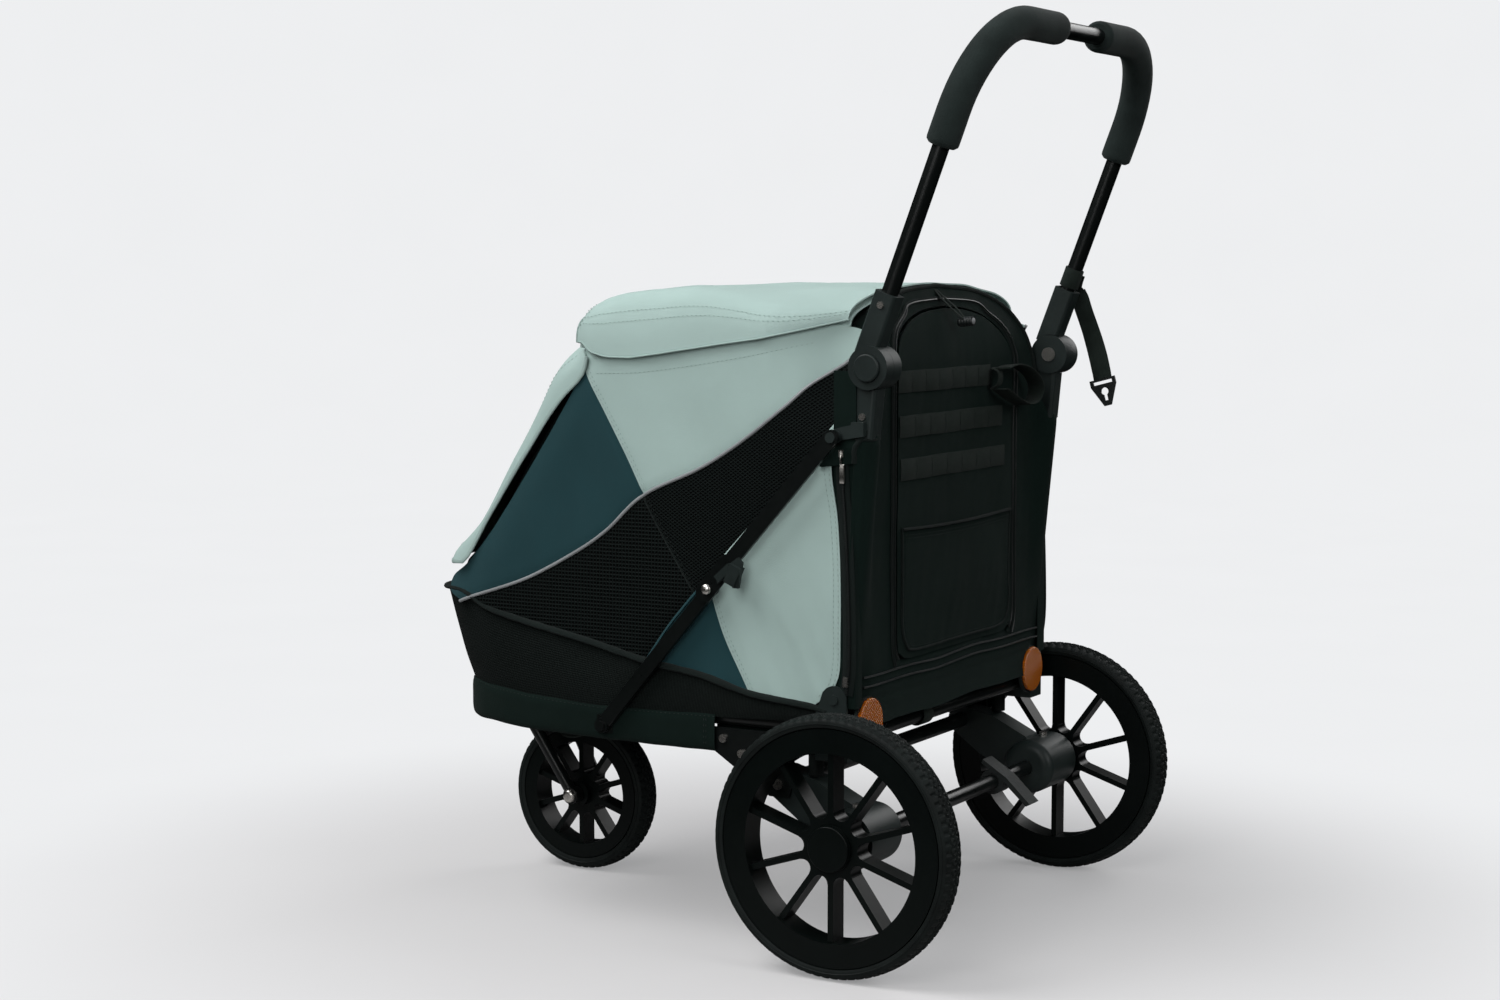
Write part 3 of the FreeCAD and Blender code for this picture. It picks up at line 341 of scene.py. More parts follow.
def amber(name):
    """Reflector lens: clear orange plastic over a field of small prisms."""
    look = Look(name, (0.46, 0.115, 0.004), 0.22, Coat_Weight=0.2, Coat_Roughness=0.08, Subsurface_Weight=0.1)
    prisms = look.math("MULTIPLY", look.wave(0, 0.0042, "Object"), look.wave(2, 0.0042, "Object"))
    look.tint(prisms, 0.62, 1.25, 0.1, 0.9)
    look.bump(prisms, 0.0008, 0.7)
    return look.material


make_camera()
make_lights()
make_stage()

SAGE = (0.362, 0.482, 0.452)
BLACK_CLOTH = (0.0046, 0.0104, 0.0086)
LOOKS = {
    "sage": woven("sage_cloth", SAGE, 0.72, spread=0.05),
    "sage_edge": woven("sage_binding", tuple(c * 0.86 for c in SAGE), 0.74, pitch=0.0016, depth=0.0004, spread=0.08),
    "teal": woven("teal_cloth", (0.0115, 0.044, 0.051), 0.80, spread=0.10, sheen=0.04, gloss=0.12),
    "black": woven("black_cloth", BLACK_CLOTH, 0.82, spread=0.16, sheen=0.02, gloss=0.04),
    "black_edge": woven(
        "black_binding", (0.0082, 0.0120, 0.0110), 0.82, pitch=0.0018, depth=0.0005, spread=0.3, sheen=0.03, gloss=0.05
    ),
    "mat": woven("mat_cloth", (0.03, 0.034, 0.034), 0.88, spread=0.2, pitch=0.002, depth=0.0006, sheen=0.05),
    "net_fine": netting("net_fine", 0.0046, False),
    "net_open": netting("net_open", 0.0064, True),
    "diamond": quilted_black("diamond_cloth"),
    "web": webbing("webbing"),
    "piping": painted("reflective_piping", (0.20, 0.21, 0.215), 0.42, grain=1800, depth=0.0002, wear=0.3),
    "thread_dark": woven("thread_dark", (0.010, 0.0145, 0.0135), 0.8, pitch=0.0006, spread=0.2, sheen=0.03),
    "thread_sage": woven("thread_sage", tuple(c * 0.72 for c in SAGE), 0.8, pitch=0.0006, spread=0.1),
    "frame": painted("powder_coat_black", (0.0026, 0.0036, 0.0034), 0.30, grain=900, depth=0.00002, spec=0.30),
    "moulded": painted("moulded_black", (0.0110, 0.0160, 0.0152), 0.44, grain=620, depth=0.00008, spec=0.20),
    "wheel": painted("wheel_black", (0.0018, 0.0030, 0.0027), 0.33, grain=760, depth=0.00004, spec=0.10),
    "pedal": painted("pedal_stippled", (0.0100, 0.0130, 0.0125), 0.58, grain=240, depth=0.0009, spec=0.3),
    "zip": painted("zip_black", (0.0056, 0.0076, 0.0072), 0.38, grain=1500, spec=0.3),
    "rubber": rubber("tyre_rubber"),
    "foam": foam("foam_grip"),
    "steel": steel("nickel_steel"),
    "amber": amber("amber_lens"),
    "plate": painted("plate_black", (0.0060, 0.0075, 0.0072), 0.32, grain=800, coat=0.1, spec=0.35),
    "grey": painted("toggle_grey", (0.16, 0.165, 0.17), 0.5, grain=600),
    "board": painted("board_black", (0.016, 0.017, 0.017), 0.7, grain=300, depth=0.0006),
}


# ---------------------------------------------------------------- shapes
def smooth_line(points, step=6.0):
    """A smooth line through the points, cut into runs of about this many millimetres."""
    pts = np.array(points, float)
    ghost = np.vstack([2 * pts[0] - pts[1], pts, 2 * pts[-1] - pts[-2]])
    out = []
    for i in range(len(pts) - 1):
        a, b, c, d = ghost[i : i + 4]
        count = max(1, int(np.linalg.norm(c - b) / step))
        for t in np.linspace(0, 1, count, endpoint=False):
            out.append(0.5 * (2 * b + (c - a) * t + (2 * a - 5 * b + 4 * c - d) * t**2 + (3 * b - a - 3 * c + d) * t**3))
    out.append(pts[-1])
    return np.array(out)


def resampled(line, count):
    """The same line as this many points, evenly spaced."""
    line = np.array(line, float)
    gone = np.concatenate([[0], np.cumsum(np.linalg.norm(np.diff(line, axis=0), axis=1))])
    want = np.linspace(0, gone[-1], count)
    return np.stack([np.interp(want, gone, line[:, k]) for k in range(line.shape[1])], 1)


def unit(v):
    v = np.array(v, float)
    return v / max(np.linalg.norm(v), 1e-9)


def far_from(line, points):
    """Distance of each point from a line, both in the same plane."""
    a, b = line[:-1], line[1:]
    run = b - a
    size = np.maximum((run**2).sum(1), 1e-9)
    best = np.full(len(points), 1e9)
    for start, step, length in zip(a, run, size):
        t = np.clip(((points - start) @ step) / length, 0, 1)
        best = np.minimum(best, np.linalg.norm(points - (start + t[:, None] * step), axis=1))
    return best


def ripple(x, y, z, scale, seed=0.0):
    return noise.noise(Vector((x / scale + seed, y / scale - seed, z / scale + 2 * seed)))


class Build:
    """The points and faces of one piece, in millimetres from the rear axle's line on the floor."""

    def __init__(self):
        self.points, self.uv, self.faces = [], [], []

    def add(self, points, faces, uv=None):
        start = len(self.points)
        self.points += [tuple(float(c) for c in p) for p in points]
        self.uv += [tuple(p) for p in uv] if uv is not None else [(p[0] * MM, p[2] * MM) for p in points]
        self.faces += [tuple(start + i for i in face) for face in faces]
        return self

    def grid(self, rows, wrap=False):
        """Quads between rows of points that all have as many points."""
        rows = np.array(rows, float)
        n, m = rows.shape[:2]
        across = np.linalg.norm(np.diff(rows, axis=1), axis=2).mean(0)
        down = np.linalg.norm(np.diff(rows, axis=0), axis=2).mean(1)
        u = np.concatenate([[0], np.cumsum(across)]) * MM
        v = np.concatenate([[0], np.cumsum(down)]) * MM
        uv = [(u[j], v[i]) for i in range(n) for j in range(m)]
        last = m if wrap else m - 1
        faces = [
            (i * m + j, i * m + (j + 1) % m, (i + 1) * m + (j + 1) % m, (i + 1) * m + j)
            for i in range(n - 1)
            for j in range(last)
        ]
        return self.add(rows.reshape(-1, 3), faces, uv)

    def tube(self, line, radius, sides=8, flat=1.0, side_way=None):
        """A round or oval tube along a line; radius may be one number or one for each point."""
        line = np.array(line, float)
        radii = np.full(len(line), radius, float) if np.isscalar(radius) else np.array(radius, float)
        ways = np.gradient(line, axis=0)
        side = np.array(side_way, float) if side_way is not None else np.cross(ways[0], (0.31, 0.17, 0.93))
        rings = []
        for point, way, size in zip(line, ways, radii):
            way = unit(way)
            side = unit(side - way * (side @ way))
            other = np.cross(way, side)
            turns = np.linspace(0, 2 * math.pi, sides, endpoint=False)
            rings.append([point + size * (side * math.cos(a) + other * flat * math.sin(a)) for a in turns])
        start = len(self.points)
        self.grid(rings, wrap=True)
        last = start + (len(rings) - 1) * sides
        self.faces += [tuple(start + k for k in reversed(range(sides))), tuple(last + k for k in range(sides))]
        return self

    def ribbon(self, line, across, width, thick):
        """A flat strap along a line; across is the way of its width, one for all or one for each point."""
        line = np.array(line, float)
        across = np.broadcast_to(np.array(across, float), line.shape)
        ways = np.gradient(line, axis=0)
        edge = min(thick * 0.5, width * 0.2)
        rings = []
        for point, way, side in zip(line, ways, across):
            way = unit(way)
            side = unit(side - way * (side @ way))
            out = np.cross(way, side)
            corners = [(1, -0.2), (1, 0.2), (0, 1), (0, 1), (-1, 0.2), (-1, -0.2), (0, -1), (0, -1)]
            half = [width / 2, width / 2, width / 2 - edge, edge - width / 2]
            half += [width / 2, width / 2, edge - width / 2, width / 2 - edge]
            ring = []
            for (sx, so), h in zip(corners, half):
                shift = sx * h if sx else h
                ring.append(point + side * shift + out * so * thick / 2)
            rings.append(ring)
        start = len(self.points)
        self.grid(rings, wrap=True)
        last = start + (len(rings) - 1) * 8
        self.faces += [tuple(start + k for k in reversed(range(8))), tuple(last + k for k in range(8))]
        return self

    def block(self, centre, x_way, z_way, size, taper=0.85):
        """A small block with slanted sides; size is along x_way, the third way and z_way (its height)."""
        x_way, z_way = unit(x_way), unit(z_way)
        y_way = np.cross(z_way, x_way)
        points = []
        for level, share in ((-0.5, 1.0), (0.5, taper)):
            for sx, sy in ((-1, -1), (1, -1), (1, 1), (-1, 1)):
                p = np.array(centre) + x_way * sx * size[0] / 2 * share + y_way * sy * size[1] / 2 * share
                points.append(p + z_way * level * size[2])
        faces = [(3, 2, 1, 0), (4, 5, 6, 7), (0, 1, 5, 4), (1, 2, 6, 5), (2, 3, 7, 6), (3, 0, 4, 7)]
        return self.add(points, faces)

    def stitches(self, line, length=3.6, gap=2.4, radius=0.45):
        """A row of stitches along a line that lies just on the cloth."""
        line = np.array(line, float)
        total = np.linalg.norm(np.diff(line, axis=0), axis=1).sum()
        count = max(2, int(total / (length + gap)))
        spots = resampled(line, count * 4 + 1)
        for k in range(count):
            run = spots[4 * k : 4 * k + 3]
            self.tube(run, [radius * 0.3, radius, radius * 0.3], 5)
        return self

    def turned(self, profile, centre, axis, steps=48):
        """A profile of (radius, distance along the axis) turned round the axis."""
        axis = unit(axis)
        side = unit(np.cross(axis, (0.3, 0.2, 0.9)))
        other = np.cross(axis, side)
        rows = []
        for k in range(steps):
            a = 2 * math.pi * k / steps
            way = side * math.cos(a) + other * math.sin(a)
            rows.append([np.array(centre) + way * r + axis * d for r, d in profile])
        rows.append(rows[0])
        return self.grid(rows)

    def patch(self, outline, lift, pitch=7.0, seams=()):
        """A sheet inside a flat outline of (a, b); lift turns the (a, b) points into (x, y, z) ones."""
        rim = np.array(outline, float)
        low, high = rim.min(0), rim.max(0)
        inside = []
        b, row = low[1] + pitch / 2, 0
        while b < high[1]:
            a = low[0] + (pitch / 2 if row % 2 else pitch)
            while a < high[0]:
                inside.append((a, b))
                a += pitch
            b += pitch * 0.87
            row += 1
        inside = np.array(inside)
        inside = inside[far_from(np.vstack([rim, rim[:1]]), inside) > pitch * 0.5]
        every = np.vstack([rim, inside])
        verts, _, faces, *_ = delaunay_2d_cdt(
            [Vector(p) for p in every], [], [list(range(len(rim)))], 1, 1e-4
        )
        flat = np.array([tuple(v) for v in verts])
        return self.add(lift(flat), faces, flat * MM)


def mirror(build):
    """The same shape on the other side of the stroller."""
    other = Build()
    other.points = [(-x, y, z) for x, y, z in build.points]
    other.uv = list(build.uv)
    other.faces = [tuple(reversed(face)) for face in build.faces]
    return other


def applied(obj):
    """Turn an object's modifiers into its mesh."""
    graph = bpy.context.evaluated_depsgraph_get()
    made = bpy.data.meshes.new_from_object(obj.evaluated_get(graph))
    obj.modifiers.clear()
    obj.data = made


def piece(name, build, body, look, slot, stands_for=(), thick=0.0, fine=0, sharp=40, soft=False):
    """Make a build into a piece that rides on a body."""
    mesh = bpy.data.meshes.new(name)
    mesh.from_pydata([metres(*p) for p in build.points], [], build.faces)
    layer = mesh.uv_layers.new(name="flat")
    spots = np.empty(len(mesh.loops), np.int32)
    mesh.loops.foreach_get("vertex_index", spots)
    layer.data.foreach_set("uv", np.array(build.uv, np.float32)[spots].ravel())
    mesh.validate()
    mesh.materials.append(LOOKS[look])
    obj = bpy.data.objects.new(name, mesh)
    bpy.context.collection.objects.link(obj)
    if fine:
        rounder = obj.modifiers.new("round", "SUBSURF")
        rounder.levels = rounder.render_levels = fine
    if thick:
        shell = obj.modifiers.new("thick", "SOLIDIFY")
        shell.thickness = thick * MM
        shell.offset = 0.0
    if fine or thick:
        applied(obj)
    obj.data.polygons.foreach_set("use_smooth", [True] * len(obj.data.polygons))
    if sharp:
        obj.data.set_sharp_from_angle(angle=math.radians(sharp))
    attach(obj, body)
    if stands_for:
        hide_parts(*stands_for)
    if soft:
        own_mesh(obj)
    return obj


def pair(name, build, body, look, slot, stands_for=(), **options):
    """A piece on the left and its mirror image on the right; {side} in a name is filled in."""
    made = []
    for side, shape in (("left", build), ("right", mirror(build))):
        nodes = [n.format(side=side) for n in stands_for]
        made.append(piece(f"{name}_{side}", shape, body.format(side=side), look, slot, nodes, **options))
    return made


# ---------------------------------------------------------------- the cabin's sides
PIPING = smooth_line([(-566, 390), (-546, 397), (-460, 425), (-391, 459), (-341, 490), (-287, 536), (-209, 571),
                      (-150, 606), (-96, 646), (-68, 672), (-31, 700), (-7, 732)])
TUB_LINE = smooth_line([(-566, 404), (-548, 400), (-504, 382), (-366, 355), (-284, 337), (-203, 325), (-141, 309),
                        (-57, 300), (-8, 292)])
BINDING = smooth_line([(-20, 640), (-31, 627), (-57, 594), (-106, 539), (-165, 479), (-224, 413), (-255, 377),
                       (-281, 341)])
FRONT_SEAM = smooth_line([(-372, 684), (-345, 640), (-312, 585), (-287, 538)])
LOW_SEAM = smooth_line([(-198, 442), (-185, 400), (-170, 362), (-141, 309)])
NET_SEAM = smooth_line([(-287, 534), (-262, 492), (-217, 424)])
TEAL_FRONT = smooth_line([(-566, 392), (-588, 402), (-584, 420), (-552, 441), (-508, 487), (-463, 548), (-424, 604),
                          (-396, 646), (-372, 684)])
REAR_EDGE = smooth_line([(-20, 640), (-32, 582), (-24, 520), (-20, 448), (-20, 376), (-23, 336), (-36, 316),
                         (-57, 301)])
UPPER_REAR = smooth_line([(-7, 732), (-16, 690), (-20, 640)])
SIDE_X = 272.0
SEAM_LINES = [PIPING, BINDING, FRONT_SEAM, LOW_SEAM, NET_SEAM]


def nearest_on(line, point):
    return int(np.argmin(np.linalg.norm(line - np.array(point), axis=1)))


def part_of(line, start, end):
    """The run of a line between the points nearest to start and end, in that order."""
    i, j = nearest_on(line, start), nearest_on(line, end)
    return line[i : j + 1] if i <= j else line[j : i + 1][::-1]


def closed_outline(*runs):
    """One outline from runs of points, without doubled points."""
    joined = [runs[0][0]]
    for run in runs:
        for p in run:
            if np.linalg.norm(np.array(p) - joined[-1]) > 1.2:
                joined.append(p)
    if np.linalg.norm(np.array(joined[0]) - joined[-1]) < 1.2:
        joined.pop()
    return np.array(joined)


def front_turn(y, z):
    """How far the side has turned in towards the nose at this place."""
    corner = np.interp(z, [400, 450, 700], [-508, -488, -326])
    return 26 * np.clip((corner - y) / 84, 0, 1.3) ** 2


def rear_turn(y, z):
    """How far the side leans in beside the hinge, to meet the narrower top of the back."""
    near = np.clip((y + 120) / 112, 0, 1)
    high = np.clip((z - 600) / 140, 0, 1)
    return 57 * (near * near * (3 - 2 * near)) * (high * high * (3 - 2 * high))


def side_lift(flat, extra=0.0):
    """The side wall's own shape: nearly flat, turned in at the nose, with pulled seams and soft folds."""
    y, z = flat[:, 0], flat[:, 1]
    x = SIDE_X + extra - front_turn(y, z) - rear_turn(y, z)
    for line in SEAM_LINES:
        x = x - 1.3 * np.exp(-((far_from(line, flat) / 5.0) ** 2))
    below = np.clip((470 - z) / 160, 0, 1) * np.clip((y + 240) / 70, 0, 1)
    folds = []
    for a, b, low in zip(y, z, below):
        broad = ripple(0, a * 0.8 + b * 0.35, b * 0.45 - a * 0.35, 60, 3.1)
        drape = ripple(0, a * 1.6 + b * 0.6, b * 0.5, 34, 7.7)
        folds.append(1.5 * broad + (0.5 + 2.2 * low) * drape)
    return np.stack([x + np.array(folds), y, z], 1)


def on_side(line, extra=0.6):
    line = np.array(line, float)
    return side_lift(line, extra)


def build_sides():
    piping_low = part_of(PIPING, PIPING[0], (-287, 536))
    piping_high = part_of(PIPING, (-287, 536), PIPING[-1])
    under_flap = smooth_line([(-7, 732), (-60, 742), (-189, 738), (-301, 728), (-372, 716)])
    lost = [(-372, 716), (-372, 684)]
    sage_top = closed_outline(under_flap, lost, FRONT_SEAM, piping_high)
    teal = closed_outline(piping_low, FRONT_SEAM[::-1], TEAL_FRONT[::-1])
    net_rear = closed_outline(piping_high, UPPER_REAR, part_of(BINDING, BINDING[0], (-217, 424)), NET_SEAM[::-1])
    net_front = closed_outline(
        piping_low, NET_SEAM, part_of(BINDING, (-217, 424), BINDING[-1]),
        part_of(TUB_LINE, (-281, 336), TUB_LINE[0]),
    )
    low_teal = closed_outline(
        part_of(BINDING, (-198, 442), BINDING[-1]), part_of(TUB_LINE, (-281, 336), (-141, 309)), LOW_SEAM[::-1]
    )
    low_sage = closed_outline(
        part_of(BINDING, BINDING[0], (-198, 442)), LOW_SEAM, part_of(TUB_LINE, (-141, 309), (-57, 300)), REAR_EDGE[::-1]
    )
    options = dict(thick=1.4, fine=1, soft=True)
    first = True
    for name, outline, look, pitch in (
        ("side_sage_top", sage_top, "sage", 7), ("side_teal_front", teal, "teal", 7),
        ("side_net_rear", net_rear, "net_open", 8), ("side_net_front", net_front, "net_fine", 8),
        ("side_teal_low", low_teal, "teal", 6), ("side_sage_low", low_sage, "sage", 6),
    ):
        shape = Build().patch(outline, side_lift, pitch)
        nodes = ("side_panel_{side}",) if first else ()
        first = False
        slot = "black_mesh" if "net" in name else "sage_fabric"
        for made in pair(name, shape, "base", look, slot, nodes, **options):
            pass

    pipe = Build().tube(on_side(PIPING, 1.4), 2.1, 8)
    pair("side_piping", pipe, "base", "piping", "sage_fabric", soft=True)
    high = part_of(BINDING, BINDING[0], (-198, 442))
    low = part_of(BINDING, (-198, 442), BINDING[-1])
    pair("binding_sage", Build().tube(on_side(high, 1.2), 3.2, 8, 0.5), "base", "sage_edge", "sage_fabric", soft=True)
    pair("binding_teal", Build().tube(on_side(low, 1.2), 3.0, 8, 0.5), "base", "teal", "sage_fabric", soft=True)
    seams = Build()
    for line in (FRONT_SEAM, LOW_SEAM):
        for shift in (3.0, 6.5):
            seams.stitches(on_side(line + np.array([shift, shift * 0.5]), 0.9))
    seams.stitches(on_side(smooth_line([(-352, 680), (-277, 684), (-149, 703), (-66, 721)]), 0.9))
    hem = REAR_EDGE[4:-3] + np.array([-9.0, 0])
    seams.stitches(on_side(hem, 0.9))
    seams.stitches(on_side(REAR_EDGE[4:-3] + np.array([-3.0, 0]), 0.9))
    pair("side_stitching", seams, "base", "thread_sage", "sage_fabric", soft=True)
    dark = Build()
    for shift in (2.4, 5.0):
        dark.stitches(on_side(NET_SEAM + np.array([shift, shift * 0.5]), 0.9))
    dark.stitches(on_side(PIPING[4:-4] + np.array([1.8, -5.0]), 0.7))
    pair("side_stitching_dark", dark, "base", "thread_dark", "black_fabric", soft=True)
    rib = Build().tube(on_side(NET_SEAM, 0.8), 1.3, 6)
    pair("net_rib", rib, "base", "black_edge", "black_mesh", soft=True)


# ---------------------------------------------------------------- the black lower part
LIP_PLAN = [(272, -36), (272.5, -200), (272.5, -400), (271, -478), (263, -538), (244, -584), (211, -618), (174, -640),
            (98, -661), (0, -670)]
HEM_PLAN = [(272, -36), (273, -200), (273, -380), (271, -440), (264, -500), (247, -545), (215, -574), (180, -591),
            (100, -606), (0, -611)]
SEAM_Z = [(-674, 287), (-539, 292), (-459, 284), (-348, 279), (-194, 282), (-36, 288)]
HEM_REAR = -182  # the hem ends here, ahead of the rear wheels
HEM_LOW_Z = [(-674, 244), (-515, 243), (-459, 240), (-357, 238), (-277, 237), (-194, 237)]


def full_plan(half_plan, count):
    line = resampled(smooth_line(half_plan, 10), count)
    other = line[::-1][1:] * np.array([-1, 1])
    return np.vstack([line, other])


def line_z(table, y):
    ys, zs = zip(*sorted(table))
    return np.interp(y, ys, zs)


def lip_z(y):
    return np.interp(y, TUB_LINE[:, 0], TUB_LINE[:, 1]) - 8 * np.clip((-590 - y) / 60, 0, 1)


def outward(plan):
    run = np.gradient(plan, axis=0)
    out = np.stack([-run[:, 1], run[:, 0]], 1)
    out /= np.linalg.norm(out, axis=1)[:, None]
    middle = plan.mean(0)
    sign = np.sign(((plan - middle) * out).sum(1))
    return out * sign[:, None]


def build_tub():
    count = 110
    lip, hem = full_plan(LIP_PLAN, count), full_plan(HEM_PLAN, count)
    out = outward(lip)
    rows = []
    for share in np.linspace(1, 0, 16):
        row = []
        for (lx, ly), (hx, hy), (ox, oy) in zip(lip, hem, out):
            y = hy + (ly - hy) * share
            x = hx + (lx - hx) * share
            top = lip_z(ly)
            low = line_z(SEAM_Z, hy) - 4
            z = low + (top - low) * share
            swell = 2.4 * math.sin(math.pi * share) + 1.6 * ripple(x, y, z, 48, 5.0)
            row.append((x + ox * swell, y + oy * swell, z))
        rows.append(row)
    shape = Build().grid(rows)
    tub = piece("tub_wrap", shape, "base", "diamond", "black_fabric", ["lower_tub"], thick=1.6, fine=1, soft=True)

    keep = hem[:, 1] < HEM_REAR
    hem, out_hem = hem[keep], outward(hem)[keep]
    rows = []
    section = [(0.0, -1.5), (0.06, 2.6), (0.25, 3.8), (0.5, 3.2), (0.75, 3.6), (0.93, 2.6), (1.0, 0.0), (0.99, -4),
               (0.96, -9)]
    for share, swell in section:
        row = []
        for (x, y), (ox, oy) in zip(hem, out_hem):
            top, low = line_z(SEAM_Z, y), line_z(HEM_LOW_Z, y)
            puff = swell + 0.9 * ripple(x, y, share * 40, 30, 9.0) + 0.5 * ripple(x, y, 0, 14, 2.0)
            z = top + (low - top) * share + 1.2 * ripple(x, y, 0, 45, 4.0) * share
            row.append((x + ox * puff, y + oy * puff, z))
        rows.append(row)
    band = piece("tub_hem", Build().grid(rows), "base", "black", "black_fabric", thick=1.6, fine=1, soft=True)

    binding = [(x + ox * 1.5, y + oy * 1.5, lip_z(y) + 1) for (x, y), (ox, oy) in zip(lip, out)]
    edge = Build().tube(binding, [5.4 + 0.9 * ripple(x, y, z, 16, 3.0) for x, y, z in binding], 10, 0.7)
    piece("tub_binding", edge, "base", "black_edge", "black_fabric", soft=True)
    thread = Build()
    for drop in (3.5, 9.0):
        line = [(x + ox * 3.2, y + oy * 3.2, line_z(SEAM_Z, y) - drop) for (x, y), (ox, oy) in zip(hem, out_hem)]
        thread.stitches(line)
    for sign in (1, -1):
        for inset in (3.0, 6.0):
            end = [(sign * 277.0, -194 - inset, z) for z in (276, 258, 241)]
            thread.stitches(smooth_line(end))
    piece("tub_stitching", thread, "base", "thread_dark", "black_fabric", soft=True)


# ---------------------------------------------------------------- roof and flaps
FLAP_EDGE = [(-10, 748), (-34, 744), (-72, 734), (-122, 723), (-189, 713), (-245, 705), (-301, 697), (-335, 697),
             (-358, 703), (-371, 714)]


RIDGE_Y = [-400, -385, -372, -350, -320, -290, -200, -60, -12, 6]
RIDGE_Z = [728, 742, 756, 768, 776, 780, 783, 784, 784, 783]


def roof_ridge(y):
    return float(np.interp(y, RIDGE_Y, RIDGE_Z))


def roof_section(s, y, wide, edge, top):
    """Where s, from -1 at the right hem over the ridge to 1 at the left hem, lies in one row.

    Rows are flat-topped at the front and become an arch like the back's at the rear.
    """
    size = 3.2 * abs(s)
    if size < 2.2:
        x, share = 0.86 * size / 2.2, 1 - 0.025 * (size / 2.2) ** 3
    else:
        turn = (size - 2.2) * math.pi / 2
        x, share = 0.86 + 0.14 * math.sin(turn) ** 0.8, 0.975 * math.cos(turn) ** 0.7
    arch_turn = abs(s) * math.pi / 2
    mix = np.clip((y + 230) / 196, 0, 1)
    mix = mix * mix * (3 - 2 * mix)
    x += (math.sin(arch_turn) - x) * mix
    share += (math.cos(arch_turn) ** 0.9 - share) * mix
    return math.copysign(wide * x, s), edge + (top - edge) * share


def roof_rows(lift, count_x=41, edge_line=None, half=276.5):
    """Rows from the rear to the front, each from the left hem over the ridge to the right hem."""
    ys = np.concatenate([np.linspace(-34, -330, 32), np.linspace(-338, -382, 9)])
    edge_y, edge_z = zip(*sorted(edge_line))
    rows = []
    for y in ys:
        edge = float(np.interp(y, edge_y, edge_z)) + lift
        top = roof_ridge(y) + lift
        wide = half - rear_turn(y, edge) - 10 * np.clip((-352 - y) / 30, 0, 1) ** 2
        row = []
        for s in np.linspace(-1, 1, count_x):
            x, z = roof_section(s, y, wide, edge, top)
            sag = 2.6 * ripple(x, y * 1.3, 0, 95, 6.0) + 1.4 * ripple(x * 0.6, y * 1.5, 0, 38, 8.0)
            side = abs(s) ** 3
            wave = 2.2 * ripple(0, y, 4 * s, 42, 12.0) * side
            row.append((x + math.copysign(wave + side * 0.5, s), y, z + sag * (1 - side * 0.7)))
        rows.append(row)
    return rows


def build_roof():
    inner = roof_rows(-6, 31, [(y, z + 2) for y, z in FLAP_EDGE], half=270)
    made = piece("roof_inner", Build().grid(inner), "base", "sage", "sage_fabric", ["roof_panel"], thick=1.5, soft=True)
    rows = roof_rows(3.0, 49, FLAP_EDGE)
    top = Build().grid(rows)
    flap = piece("roof_top_sheet", top, "roof_flap", "sage", "sage_fabric", ["roof_flap"], thick=1.8, fine=1, soft=True)
    rows = np.array(rows)
    rim = np.vstack([rows[:, 0], rows[-1, 1:-1], rows[::-1, -1]])
    hem = Build().tube(rim, 2.3, 8, 0.55)
    hem_piece = piece("roof_hem", hem, "roof_flap", "sage_edge", "sage_fabric", soft=True)
    thread = Build()
    for cols in (2, 3):
        line = np.vstack([rows[:, cols], rows[-1 - cols, cols + 1 : -cols - 1], rows[::-1, -1 - cols]])
        out = np.where(np.abs(line[:, :1]) > 200, np.sign(line[:, :1]), 0) * np.array([[1.3, 0, 0]])
        thread.stitches(line + out + np.array([0, 0, 1.0]))
    stitch = piece("roof_stitching", thread, "roof_flap", "thread_sage", "sage_fabric", soft=True)


WING_OUT = smooth_line([(-376, 708), (-384, 700), (-408, 686), (-426, 666), (-459, 611), (-497, 552), (-535, 491),
                        (-579, 449), (-582, 440)])
WING_IN = smooth_line([(-366, 700), (-374, 677), (-403, 651), (-436, 612), (-478, 553), (-521, 492), (-550, 447),
                       (-557, 441)])


